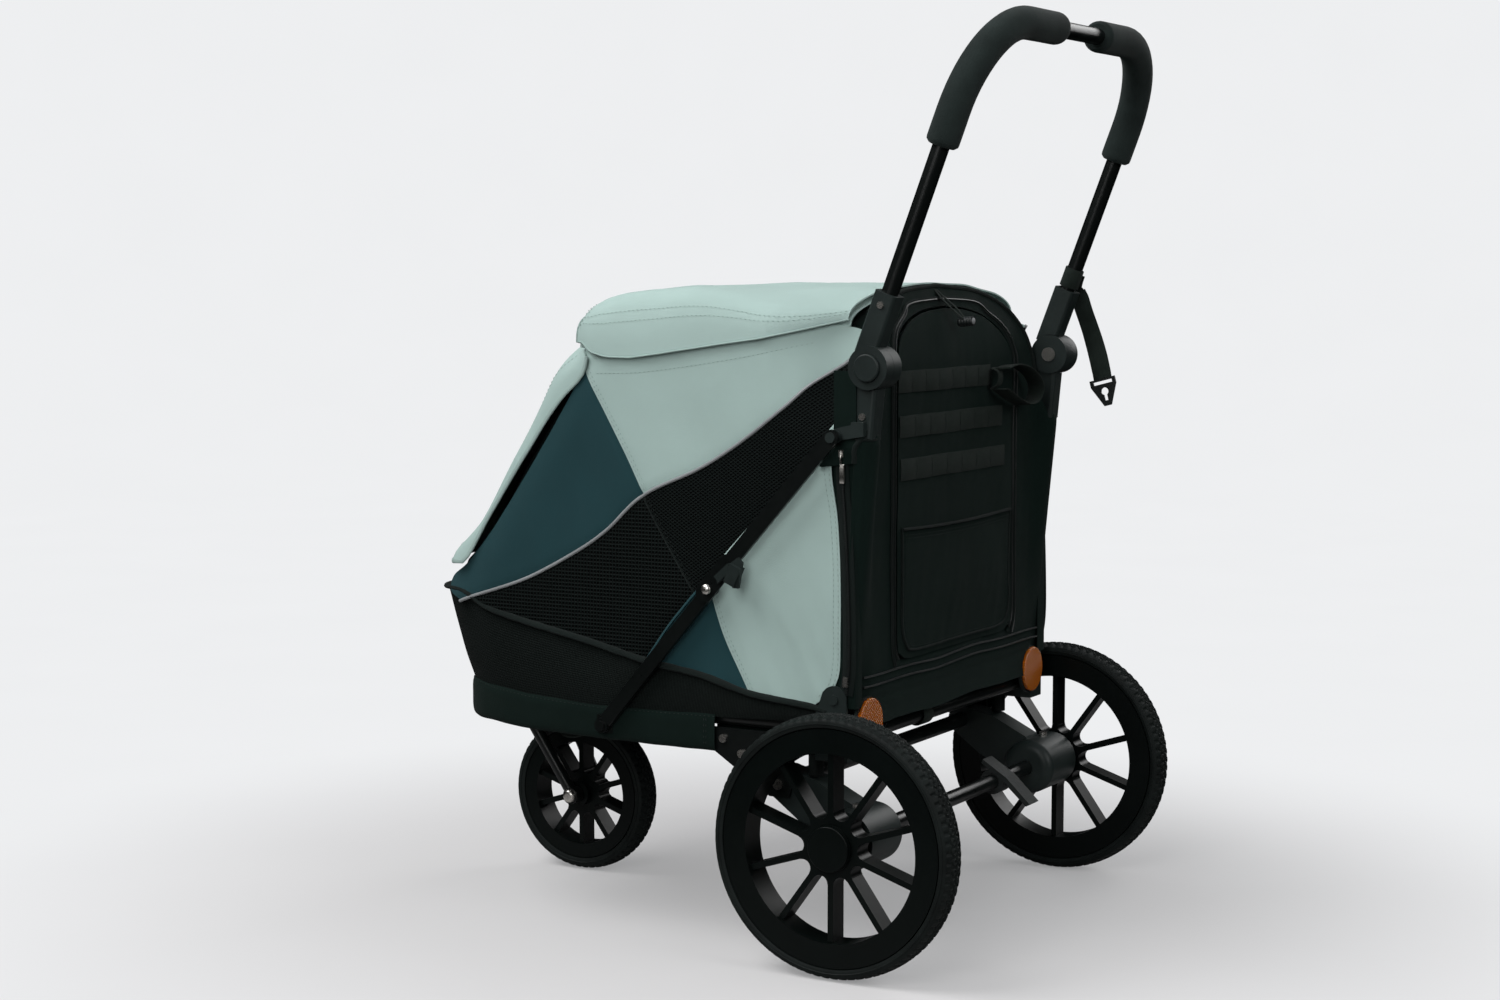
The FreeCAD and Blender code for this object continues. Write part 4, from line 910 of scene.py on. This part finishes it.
def build_front():
    count = 30
    outer, inner = resampled(WING_OUT, count), resampled(WING_IN, count)
    rows = []
    for k in range(count):
        share = k / (count - 1)
        (oy, oz), (iy, iz) = outer[k], inner[k]
        ahead = np.interp(share, [0, 0.1, 0.3, 1], [-8, 14, 36, 74])
        rise = np.interp(share, [0, 0.1, 0.3, 1], [42, 35, 16, -6])
        square = np.interp(share, [0, 0.3, 1], [6, 3, 2.2])
        half_row = [(272 - 6 * share, iy, iz), (271 - 7 * share, (iy + oy) / 2, (iz + oz) / 2)]
        half_row.append((262 - 8 * share, oy + 1, oz - 1))
        for t in (0.12, 0.3, 0.5, 0.75, 1.0):
            bow = 1 - (1 - t) ** square
            half_row.append(((254 - 7 * share) * (1 - t), oy - 2 - ahead * bow, oz + 1 + rise * bow))
        line = resampled(smooth_line(half_row, 6), 26)
        for p in line:
            push = 2.0 * ripple(p[0], p[1], p[2], 60, 15.0)
            p[1] -= push * 0.6
            p[2] += push * 0.6
        rows.append(np.vstack([line, line[::-1][1:] * np.array([-1, 1, 1])]))
    rows = np.array(rows)
    shape = Build().grid(rows)
    flap = piece("front_sheet", shape, "front_flap", "sage", "sage_fabric", ["front_flap"], thick=1.8, fine=1, soft=True)
    rim = np.vstack([rows[:, 0], rows[-1, 1:-1], rows[::-1, -1]])
    hem = piece("front_hem", Build().tube(rim, 2.8, 8, 0.6), "front_flap", "sage_edge", "sage_fabric", soft=True)
    thread = Build()
    left, right = rows[:-2, 3] + np.array([1.6, 0, 0]), rows[::-1, -4][2:] + np.array([-1.6, 0, 0])
    thread.stitches(np.vstack([left, rows[-3, 4:-4] + np.array([0, -1.0, 1.0]), right]))
    stitch = piece("front_stitching", thread, "front_flap", "thread_sage", "sage_fabric", soft=True)

    rows_in = []
    for k, row in enumerate(rows):
        share = k / (count - 1)
        inner_row = row.copy()
        inner_row[:, 0] *= 0.955
        inner_row[:, 1] += 10 + 2 * share
        inner_row[:, 2] -= 11
        rows_in.append(inner_row)
    low = rows_in[-1].copy()
    low[:, 1] -= 8
    low[:, 2] = 408
    rows_in.append(low)
    shape = Build().grid(rows_in)
    window = piece("front_window", shape, "base", "net_fine", "black_mesh", ["front_panel"], thick=1.4, soft=True)


# ---------------------------------------------------------------- the back
DOOR_ARCH = [(165, 372), (165, 520), (165, 640), (163, 690), (150, 722), (112, 744), (60, 756), (0, 760)]
BACK_ARCH = [(271, 300), (272, 420), (274, 520), (275, 585), (273, 612), (246, 652), (228, 695), (211, 730), (174, 758),
             (106, 777), (0, 785)]


WEB_CELLS = 7  # loops in one row of the door's webbing
TOGGLE_AT, TOGGLE_WAY = (-2, 8, 741), (0.15, 0.98, 0.1)


def back_y(z):
    return -5.0 - 30.0 * np.clip((z - 690) / 94, 0, 1) ** 1.5


def back_lift(flat, out=0.0, wrinkle=1.0):
    x, z = flat[:, 0], flat[:, 1]
    y = back_y(z) + out
    folds = [
        1.6 * ripple(a * 0.9, 0, b * 0.5, 52, 21.0) + 0.9 * ripple(a * 1.4 + b * 0.3, 0, b * 0.4, 24, 23.0)
        for a, b in zip(x, z)
    ]
    return np.stack([x, y + wrinkle * np.array(folds), z], 1)


def over_post(lifted):
    """Lay the back's edges over the posts, which lean and stand behind the back's plane low down."""
    x, z = np.abs(lifted[:, 0]), lifted[:, 2]
    post_y = np.interp(z, [312, 694], [-26, 11])
    reach = np.clip((z - 284) / 18, 0, 1) * np.clip((646 - z) / 30, 0, 1)
    near = np.clip((x - 222) / 30, 0, 1)
    near = near * near * (3 - 2 * near) * reach
    target = post_y + 16.5 - 15 * np.clip((x - 256) / 17, 0, 1.2) ** 2
    lifted[:, 1] += (target - lifted[:, 1]) * near
    return lifted


def symmetric(half_line, step=6):
    line = smooth_line(half_line, step)
    return np.vstack([line, line[::-1][1:] * np.array([-1, 1])])


def build_back():
    count = 120
    inner = resampled(symmetric([(150, 341), (163, 350)] + DOOR_ARCH), count)
    outer = resampled(symmetric(BACK_ARCH), count)
    rows = []
    for share in np.linspace(0, 1, 19):
        flat = inner * (1 - share) + outer * share
        rows.append(over_post(back_lift(flat, 0.4)))
    ring = Build().grid(rows)
    low_rows = []
    for z in (346, 338, 331, 326, 320, 313, 307, 301, 294, 287, 281, 276):
        fold = {338: 3.0, 331: 0.0, 326: 3.4, 320: 0.4, 313: 3.2, 307: 0.6, 301: 2.6}.get(z, 1.2 + (301 - z) * 0.12)
        wave = 3.2 if z < 330 else 1.0
        half = 262 if z > 300 else 262 - (300 - z) * 1.2
        row = []
        for x in np.linspace(half, -half, 64):
            dip = wave * ripple(x, 0, 0, 110, 31.0) + 0.8 * ripple(x, 0, z, 30, 33.0)
            row.append((x, -6 + fold + 0.8 * ripple(x, 0, z, 40, 35.0), z + dip))
        low_rows.append(over_post(np.array(row)))
    ring.grid(low_rows)
    made = piece("back_frame", ring, "base", "black", "black_fabric", ["rear_surround"], thick=1.6, fine=1, soft=True)

    half = smooth_line([(0, 343), (60, 343), (130, 343), (154, 351), (162, 370), (162, 520), (162, 640), (160, 690),
                        (147, 719), (110, 741), (60, 753), (0, 757)], 6)
    outline = closed_outline(half, (half[::-1] * np.array([-1, 1]))[1:-1])
    shape = Build().patch(outline, lambda flat: back_lift(flat, 1.2, 0.8), 8)
    door = piece("door_sheet", shape, "rear_door", "black", "black_fabric", ["rear_door"], thick=2.4, fine=1, soft=True)

    zips, teeth = Build(), Build()
    for half_x, out in ((168.5, 1.6), (176.0, 2.2)):
        line = symmetric([(half_x - 10, 346 - (half_x - 168)), (half_x - 2, 360), (half_x, 420), (half_x, 520),
                          (half_x, 650), (half_x - 3, 700), (half_x - 20, 731), (half_x - 56, 751), (90, 764),
                          (0, 769)])
        lifted = back_lift(resampled(line, 220), out, 0.8)
        zips.ribbon(lifted, np.gradient(lifted, axis=0)[:, [2, 1, 0]] * np.array([1, 0, -1]), 6.4, 1.4)
        teeth.tube(lifted + np.array([0, 1.0, 0]), 1.0, 6)
    for z0 in (334.5, 323.0):
        line = np.array([(x, z0 + 3.2 * ripple(x, 0, 0, 110, 31.0)) for x in np.linspace(248, -248, 90)])
        lifted = np.stack([line[:, 0], np.full(len(line), -2.4), line[:, 1]], 1)
        teeth.tube(lifted, 1.3, 6)
    piece("back_zip_tape", zips, "base", "black_edge", "black_fabric", soft=True)
    piece("back_zip_coil", teeth, "base", "zip", "black_fabric", soft=True)

    rim = over_post(back_lift(resampled(symmetric(BACK_ARCH[3:]), 120), 1.0, 0.4))
    gusset = []
    for share in (0.0, 0.35, 0.7, 1.0):
        front_y = np.minimum(rim[:, 1] - 10, -46)
        row = rim.copy()
        row[:, 1] += (front_y - rim[:, 1]) * share
        row[:, 2] -= 5.5 * share
        gusset.append(row)
    made = piece("back_gusset", Build().grid(gusset), "base", "black", "black_fabric", thick=1.6, soft=True)
    piece("back_piping", Build().tube(rim, 3.0, 8), "base", "black_edge", "black_fabric", soft=True)

    left = smooth_line([(0, 352), (118, 352), (142, 362), (151, 384), (152, 440), (152, 500)], 7)
    right = left * np.array([-1, 1])
    top_line = np.array([(x, 499 - 3 * (1 - (x / 152) ** 2)) for x in np.linspace(152, -152, 44)])
    outline = closed_outline(left, top_line[1:-1], right[::-1])

    def pocket_lift(flat):
        lifted = back_lift(flat, 3.0, 1.0)
        puff = np.clip(1 - np.abs(flat[:, 0]) / 152, 0, 1) ** 0.5 * np.clip((flat[:, 1] - 352) / 60, 0, 1)
        lifted[:, 1] += 4.2 * puff
        return lifted

    shape = Build().patch(outline, pocket_lift, 8)
    pocket = piece(
        "door_pocket_sheet", shape, "rear_door", "black", "black_fabric", ["door_pocket"], thick=1.8, fine=1, soft=True
    )
    hem_line = pocket_lift(top_line) + np.array([0, 1.2, 0])
    trim = Build().tube(hem_line, 3.2, 8, 0.5)
    side_line = pocket_lift(resampled(closed_outline(left[::-1], right), 140)) + np.array([0, 0.6, 0])
    trim.tube(side_line, 1.8, 6)
    trim_piece = piece("door_pocket_trim", trim, "rear_door", "black_edge", "black_fabric", soft=True)
    thread = Build()
    for drop in (7.0, 11.0):
        thread.stitches(pocket_lift(top_line - np.array([0, drop])) + np.array([0, 1.2, 0]))
    inset = np.array([0.955, 1.0])
    seam = resampled(closed_outline(left[::-1] * inset, right * inset), 140) + np.array([0, 4.0])
    thread.stitches(pocket_lift(seam) + np.array([0, 1.2, 0]))
    thread_piece = piece("door_stitching", thread, "rear_door", "thread_dark", "black_fabric", soft=True)

    rows = Build()
    tacks = Build()
    for x_low, x_high, z in ((-94, 164, 673), (-130, 160, 620), (-138, 157, 569)):
        spots = np.linspace(x_high, x_low, WEB_CELLS + 1)
        line = []
        for a, b in zip(spots, spots[1:]):
            for t in np.linspace(0, 1, 7, endpoint=False):
                x = a + (b - a) * t
                line.append((x, back_y(z) + 2.9 + 1.0 * math.sin(math.pi * t), z + 1.0 * ripple(x, 0, z, 80, 41.0)))
        line.append((spots[-1], back_y(z) + 2.9, z))
        line = np.array(line)
        rows.ribbon(line, (0, 0, 1), 26, 1.9)
        for x in spots:
            y = back_y(z) + 4.2
            tacks.stitches([(x + 0.8, y, z - 11), (x - 0.8, y, z), (x + 0.8, y, z + 11)], 1.8, 0.4, 0.8)
    loop = [(-92, 15, 681), (-128, 15, 684), (-164, 16, 677), (-189, 17, 663), (-195, 17, 649), (-184, 16, 636),
            (-158, 15, 633), (-124, 14, 643), (-92, 13, 655)]
    rows.ribbon(smooth_line(loop, 5), (0.12, 1, 0.08), 24, 1.9)
    rows.ribbon(smooth_line([(-92, 2, 681), (-93, 12, 676), (-92, 12, 662), (-92, 2, 655)], 4), (1, 0, 0), 14, 1.6)
    web = piece("door_web_rows", rows, "rear_door", "web", "webbing", ["door_webbing"], soft=True)
    tack_piece = piece("door_web_tacks", tacks, "rear_door", "thread_dark", "webbing", soft=True)

    toggle = Build()
    barrel = [(0.1, -12), (4.2, -12), (5.2, -11), (5.4, 0), (5.2, 9), (4.4, 10), (0.1, 10)]
    toggle.turned(barrel, TOGGLE_AT, TOGGLE_WAY, 20)
    for start in range(-9, 11, 4):
        rib = [(5.3, start), (6.0, start + 1), (6.0, start + 2), (5.3, start + 3)]
        toggle.turned(rib, TOGGLE_AT, TOGGLE_WAY, 20)
    piece("toggle_barrel", toggle, "rear_door", "zip", "zip_black", ["door_toggle"], soft=True)
    button = Build().turned([(0.1, 10.6), (3.4, 10.6), (3.9, 10.2), (4.0, 9.4)], TOGGLE_AT, TOGGLE_WAY, 20)
    piece("toggle_button", button, "rear_door", "grey", "zip_black", soft=True)
    strap = Build()
    for sign in (-1, 1):
        run = [(sign * 2 + 3, -33, 781), (sign * 5 + 3, -22, 770), (sign * 7, -8, 757), (sign * 3 - 2, 4, 745)]
        strap.ribbon(smooth_line(run, 3), (1, 0.2, 0), 6, 1.2)
    piece("toggle_strap", strap, "rear_door", "web", "webbing", soft=True)


def build_corners():
    """Cloth sleeves over the posts, the corner zips and what closes the gap beside them."""
    sleeve = Build()
    line = smooth_line([(256, -19, 318), (257, -15, 380), (257, -10, 450), (258, -4, 520), (258, 1, 575),
                        (258.5, 4, 612)], 9)
    radii = 13.6 + 1.2 * np.linspace(0, 1, len(line)) ** 3
    rings = []
    for (x, y, z), r in zip(line, radii):
        ring = []
        for a in np.linspace(0, 2 * math.pi, 36, endpoint=False):
            fold = 1.4 * ripple(40 * math.cos(a), 40 * math.sin(a), z * 0.35, 20, 51.0)
            ring.append((x + (r + fold) * 0.98 * math.cos(a), y + (r + fold) * 0.86 * math.sin(a), z))
        rings.append(ring)
    sleeve.grid(rings, wrap=True)
    sleeves = pair("post_sleeve", sleeve, "posts", "black", "black_fabric", thick=1.2, fine=1, soft=True)
    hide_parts("post_covers")
    cuff = Build().tube([rings[-1][k % 36] for k in range(37)], 1.8, 6)
    pair("post_cuff", cuff, "posts", "black_edge", "black_fabric", soft=True)

    tape, coil = Build(), Build()
    zip_line = smooth_line([(-12, 318), (-8, 358), (-10, 448), (-14, 520), (-17, 560), (-19, 600)], 8)
    lifted = np.stack([np.full(len(zip_line), SIDE_X + 0.6), zip_line[:, 0], zip_line[:, 1]], 1)
    tape.ribbon(lifted, (0, 1, 0), 17, 1.2)
    coil.tube(lifted + np.array([1.0, 0, 0]), 1.5, 6)
    for p in resampled(lifted, 150):
        coil.block(p + np.array([1.8, 0, 0]), (0, 1, 0), (1, 0, 0), (4.6, 1.1, 1.6))
    pair("corner_zip_tape", tape, "base", "black_edge", "black_fabric", soft=True)
    pair("corner_zip_teeth", coil, "base", "zip", "black_fabric", soft=True)
    corner = [(1, -30), (1, -18), (1, -6), (1, -2), (6, -1), (20, -3)]
    gap = Build().grid([[(SIDE_X - step, y, z) for step, y in corner] for z in np.linspace(302, 690, 30)])
    pair("corner_strip", gap, "base", "black", "black_fabric", thick=1.2, soft=True)
    slider = Build()
    slider.block((SIDE_X + 3.4, -18, 596), (0, 0, 1), (1, 0, 0), (11, 8, 4), 0.7)
    slider.tube(smooth_line([(SIDE_X + 5, -18, 598), (SIDE_X + 8, -17, 592), (SIDE_X + 7, -17, 584)], 2), 1.3, 8)
    slider.block((SIDE_X + 5.2, -16.5, 573), (0, 0, 1), (1, 0, 0), (22, 6, 1.6), 0.8)
    slider.block((SIDE_X + 2.6, -12, 333), (0, 0, 1), (1, 0, 0), (13, 7, 4), 0.8)
    pair("corner_zip_slider", slider, "base", "steel", "zip_black", soft=True)


def build_pad():
    """The mat on the floor board, blown up as cloth, then quilted."""
    low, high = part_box("cushion")
    y_rear, y_front = (high.y - AXLE_Y) / MM - 6, (low.y - AXLE_Y) / MM + 8
    half, z0, z1 = high.x / MM - 9, low.z / MM + 3, high.z / MM - 9
    outline = [(half, y_rear), (half, -470), (half * 0.62, y_front)]
    outline += [(-x, y) for x, y in reversed(outline)]
    shape = Build()
    count = len(outline)
    faces = [tuple(range(count))[::-1], tuple(range(count, 2 * count))]
    faces += [(k, (k + 1) % count, count + (k + 1) % count, count + k) for k in range(count)]
    shape.add([(x, y, z) for z in (z0, z1) for x, y in outline], faces)
    mesh = bpy.data.meshes.new("pad_mesh")
    mesh.from_pydata([metres(*p) for p in shape.points], [], shape.faces)
    obj = bpy.data.objects.new("mat_pad", mesh)
    bpy.context.collection.objects.link(obj)
    grid = obj.modifiers.new("grid", "REMESH")
    grid.mode, grid.voxel_size = "VOXEL", 0.007
    applied(obj)
    start = np.array([v.co for v in obj.data.vertices])
    cloth = obj.modifiers.new("cloth", "CLOTH")
    cloth.settings.use_pressure = True
    cloth.settings.uniform_pressure_force = 4.0
    cloth.settings.effector_weights.gravity = 0
    scene = bpy.context.scene
    for step in range(1, 13):
        scene.frame_set(step)
        bpy.context.view_layer.update()
    applied(obj)
    scene.frame_set(1)
    now = np.array([v.co for v in obj.data.vertices])
    move = now - start
    size = np.linalg.norm(move, axis=1)[:, None]
    now = start + move * np.minimum(1, 0.006 / np.maximum(size, 1e-9))
    top = now[:, 2] > (z0 + z1) / 2 * MM
    spacing = 0.075
    for axis in (0, 1):
        groove = np.abs((now[:, axis] / spacing) % 1 - 0.5) * spacing
        now[:, 2] -= top * 0.004 * np.exp(-((groove / 0.006) ** 2))
    now[:, 2] = np.clip(now[:, 2], low.z + 0.0005, high.z - 0.0005)
    obj.data.vertices.foreach_set("co", now.ravel())
    obj.data.materials.append(LOOKS["mat"])
    obj.data.polygons.foreach_set("use_smooth", [True] * len(obj.data.polygons))
    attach(obj, "base")
    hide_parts("cushion")
    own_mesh(obj)


# ---------------------------------------------------------------- handle, strap and wheels
def build_grips():
    _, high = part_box("grips")
    _, tube_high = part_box("handle_tube")
    radius = 19.0
    x_leg = high.x / MM - radius
    bar_y, bar_z = (tube_high.y - AXLE_Y) / MM - 10, tube_high.z / MM - 10
    start = np.array([x_leg, 96.0, 942.0])
    corner = np.array([x_leg, bar_y, bar_z])
    up = unit(start - corner)
    bend = 110.0
    line = [start + (corner + up * bend - start) * t for t in np.linspace(0, 1, 6, endpoint=False)]
    in_way = np.array([-1.0, 0, 0])
    middle = corner + up * bend + in_way * bend
    first, second = -in_way * bend, -up * bend
    for a in np.linspace(0, math.pi / 2, 16):
        line.append(middle + first * math.cos(a) + second * math.sin(a))
    end = np.array([61.0, bar_y, bar_z])
    line += [line[-1] + (end - line[-1]) * t for t in np.linspace(0, 1, 7)[1:]]
    line = resampled(np.array(line), 90)
    gone = np.linspace(0, 1, 90)
    total = np.linalg.norm(np.diff(line, axis=0), axis=1).sum()
    near = np.minimum(gone, 1 - gone) * total
    radii = radius - 4.0 * np.clip(1 - near / 5.0, 0, 1) ** 2 + 0.35 * np.array([ripple(*p, 60, 61.0) for p in line])
    grip = Build().tube(line, radii, 28, side_way=(1, 0, 0.2))
    shape = pair("foam_grip", grip, "handle", "foam", "foam_grip")
    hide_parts("grips")


def build_strap():
    """The storage strap: a band sewn round the right tube, and its hanging end with a keyhole plate."""
    low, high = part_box("storage_strap")
    x = (low.x + high.x) / 2 / MM
    line = smooth_line([(35, 772), (40, 764), (46, 748), (57, 716), (66, 690), (70.5, 670), (72, 661)], 5)
    sway = [x + 1.2 * math.sin(k * 0.5) for k in range(len(line))]
    points = np.stack([np.array(sway), line[:, 0], line[:, 1]], 1)
    across = np.array([(0.12 * math.sin(k * 0.3), 0.93, 0.37) for k in range(len(line))])
    tail = Build().ribbon(points, across, 25, 1.9)
    made = piece("strap_tail", tail, "strap", "web", "webbing", ["storage_strap"])
    thread = Build()
    for shift in (-9.5, 9.5):
        thread.stitches(points + across * shift + np.array([-1.3, 0, 0]), 3, 2, 0.4)
    stitched = piece("strap_stitching", thread, "strap", "thread_dark", "webbing")

    low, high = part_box("strap_loop")
    centre = (low + high) / 2
    way = unit((0, 149, 389))
    mid = np.array([centre.x / MM, (centre.y - AXLE_Y) / MM, centre.z / MM])
    band = Build()
    profile = [(10.3, -12.5), (11.9, -12.6), (12.3, -12), (12.2, 0), (12.3, 12), (11.9, 12.6), (10.3, 12.5), (10.3, -12.5)]
    band.turned(profile, mid, way, 32)
    tail = smooth_line([mid + (-13, 0, 5), mid + (-17, -4, -2), mid + (-22, -8, -14), (x + 1, 35, 772)], 4)
    band.ribbon(tail, (0.1, 0.93, 0.37), 25, 1.9)
    piece("strap_band", band, "handle", "web", "webbing", ["strap_loop"])


REAR_SEAT_R, FRONT_SEAT_R = 137.0, 87.0  # where the tyres meet their rims
TREAD_DEPTH = 1.9


def tread_height(around, across, rows):
    """Rows of small blocks round a tyre: rounded squares at the edges and a chain of links between."""
    cell = around * rows % 1.0
    other = (around * rows + 0.5) % 1.0
    edge = np.clip(6 * (0.5 - np.abs(cell - 0.5)) - 0.5, 0, 1) * (np.abs(across) > 0.56)
    ring = np.abs(np.hypot((other - 0.5) * 2.2, (np.abs(across) - 0.28) * 4.2) - 0.62)
    links = np.clip(1.6 - 6 * ring, 0, 1) * (np.abs(across) < 0.56)
    rib = np.clip(1 - np.abs(across) * 14, 0, 1) * np.clip(6 * (0.5 - np.abs(cell - 0.5)), 0, 1)
    return np.maximum(np.maximum(edge, links), rib)


def build_tyre(name, node, body, seat_r, blocks):
    low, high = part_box(node)
    centre = (low + high) / 2
    outer_r = (high.z - low.z) / 2 / MM
    half = (high.x - low.x) / 2 / MM
    shoulder = [(-0.62, 0.0), (-0.93, 0.10), (-1.0, 0.30), (-0.99, 0.52), (-0.93, 0.70)]
    crown = np.linspace(-1, 1, 41)
    depth = outer_r - seat_r
    profile = [(seat_r + depth * s, half * a, 0.0, 0.0) for a, s in shoulder]
    for c in crown:
        drop = depth * 0.27 * abs(c) ** 2.6
        profile.append((outer_r - TREAD_DEPTH - drop, half * 0.90 * c, 1.0, c))
    profile += [(seat_r + depth * s, -half * a, 0.0, 0.0) for a, s in reversed(shoulder)]
    profile = np.array(profile)
    steps = blocks * 10
    turns = np.arange(steps + 1) / steps
    rows = []
    for t in turns:
        a = 2 * math.pi * t
        lift = TREAD_DEPTH * profile[:, 2] * tread_height(t, profile[:, 3], blocks)
        r = profile[:, 0] + lift
        rows.append(np.stack([profile[:, 1], r * math.sin(a), r * math.cos(a)], 1))
    rows = np.array(rows)
    at_x, at_y, at_z = centre.x / MM, (centre.y - AXLE_Y) / MM, centre.z / MM
    rows += np.array([at_x, at_y, at_z])
    piece(name, Build().grid(rows), body, "rubber", "tyre_black", [node], sharp=50)
    lip = Build()
    for side in (-1, 1):
        for r, out in ((seat_r + depth * 0.06, 0.70), (seat_r + depth * 0.40, 1.0)):
            turn = np.linspace(0, 2 * math.pi, 121)
            ring = [(at_x + side * half * out, at_y + r * math.sin(a), at_z + r * math.cos(a)) for a in turn]
            lip.tube(ring, 0.9, 6)
    piece(name + "_bead", lip, body, "rubber", "tyre_black")


def build_small_parts():
    """Clips under the hem, the skirt's strap round the cross bar, and a zip pull beside the hinge."""
    clip, rivet, loop = Build(), Build(), Build()
    clip.block((233, -448, 237), (0, 1, 0), (1, 0, 0), (44, 14, 5), 0.9)
    rivet.turned([(0.1, 3.2), (2.2, 3.0), (3.2, 1.8), (3.4, 0)], (235.4, -458, 239), (1, 0, 0), 16)
    bend = [(236, -424, 240), (237, -408, 238), (237, -400, 232), (237, -416, 228), (237, -429, 231), (236, -424, 240)]
    loop.tube(smooth_line(bend, 3), 2.0, 8)
    pair("hem_clip", clip, "base", "moulded", "moulded_black")
    pair("hem_clip_rivet", rivet, "base", "steel", "bright_steel")
    pair("hem_clip_loop", loop, "base", "web", "webbing", soft=True)
    low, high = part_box("rear_cross_bar")
    bar_y, bar_z = ((low.y + high.y) / 2 - AXLE_Y) / MM, (low.z + high.z) / 2 / MM
    strap = Build()
    turn = np.linspace(-0.3 * math.pi, 1.25 * math.pi, 30)
    wrap = [(50, bar_y + 12.4 * math.cos(a), bar_z - 12.4 * math.sin(a)) for a in turn]
    strap.ribbon(np.array(wrap), (1, 0, 0), 26, 2.2)
    piece("skirt_strap", strap, "base", "web", "webbing")
    skirt = Build()
    for x in (245.0, 243.0):
        skirt.grid([
            [(x + 0.8 * ripple(0, y, z, 30, 3.0), y, z) for y in np.linspace(-34, -200, 34)]
            for z in (288, 280, 270, 262, 256)
        ])
    pair("floor_skirt", skirt, "base", "black", "black_fabric", thick=1.4, soft=True)
    low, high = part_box("brace_latch_left")
    x, y, z = (low.x + high.x) / 2 / MM, ((low.y + high.y) / 2 - AXLE_Y) / MM, (low.z + high.z) / 2 / MM
    pad = Build().block((x + 1.6, y + 6, z - 3), (0, 0.42, 0.91), (1, 0, 0), (27, 17, 8), 0.86)
    pad.block((x + 1.2, y - 7, z - 1), (0, 0.75, 0.66), (1, 0, 0), (26, 10, 6), 0.9)
    pair("latch_pad", pad, "brace_latch_{side}", "moulded", "moulded_black")
    pivot = (295.2, -186, 432)
    bolt = Build().turned([(0.1, 3.4), (3.0, 3.1), (5.6, 1.8), (6.4, 0)], pivot, (1, 0, 0), 20)
    bolt.turned([(0.1, 3.9), (1.6, 3.9), (2.0, 3.2)], pivot, (1, 0, 0), 6)
    pair("brace_bolt", bolt, "upper_braces", "steel", "bright_steel")
    pull = Build()
    ring = [(222, 2, 699), (214, 6, 690), (213, 7, 682), (223, 6, 682), (230, 4, 684), (222, 2, 699)]
    pull.tube(smooth_line(ring, 2), 0.9, 8)
    piece("arch_zip_pull", pull, "base", "steel", "zip_black", soft=True)


# ---------------------------------------------------------------- CAD nodes that stay
NODE_LOOKS = {
    "frame": ("side_rails lower_rails rear_cross_bar pivot_cross_tube suspension_plates caster_head brace_feet rear_posts "
              "handle_tube axle_tube upper_braces lower_braces caster_fork"),
    "moulded": ("corner_brackets lower_hinges upper_hinges suspension_arms hub_housings brace_latch_left "
                "brace_latch_right hinge_button_left hinge_button_right"),
    "wheel": "hub_cap_left hub_cap_right rear_rim_left rear_rim_right front_rim",
    "pedal": "brake_pedal",
    "rubber": "suspension_buffers",
    "steel": ("frame_rivets handle_rivets hinge_bolts stub_axles front_axle caster_stem release_button_left "
              "release_button_right"),
    "board": "floor_board",
    "amber": "reflectors",
    "plate": "strap_plate",
}


def paint_nodes():
    for look, names in NODE_LOOKS.items():
        for name in names.split():
            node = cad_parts[name]
            for slot in node.material_slots:
                slot.material = LOOKS[look]
            if not node.material_slots:
                node.data.materials.append(LOOKS[look])


paint_nodes()
build_sides()
build_tub()
build_roof()
build_front()
build_back()
build_corners()
build_pad()
build_grips()
build_strap()
build_tyre("tyre_rear_left", "rear_tyre_left", "rear_wheel_left", REAR_SEAT_R, 84)
build_tyre("tyre_rear_right", "rear_tyre_right", "rear_wheel_right", REAR_SEAT_R, 84)
build_tyre("tyre_front", "front_tyre", "front_wheel", FRONT_SEAT_R, 58)
build_small_parts()
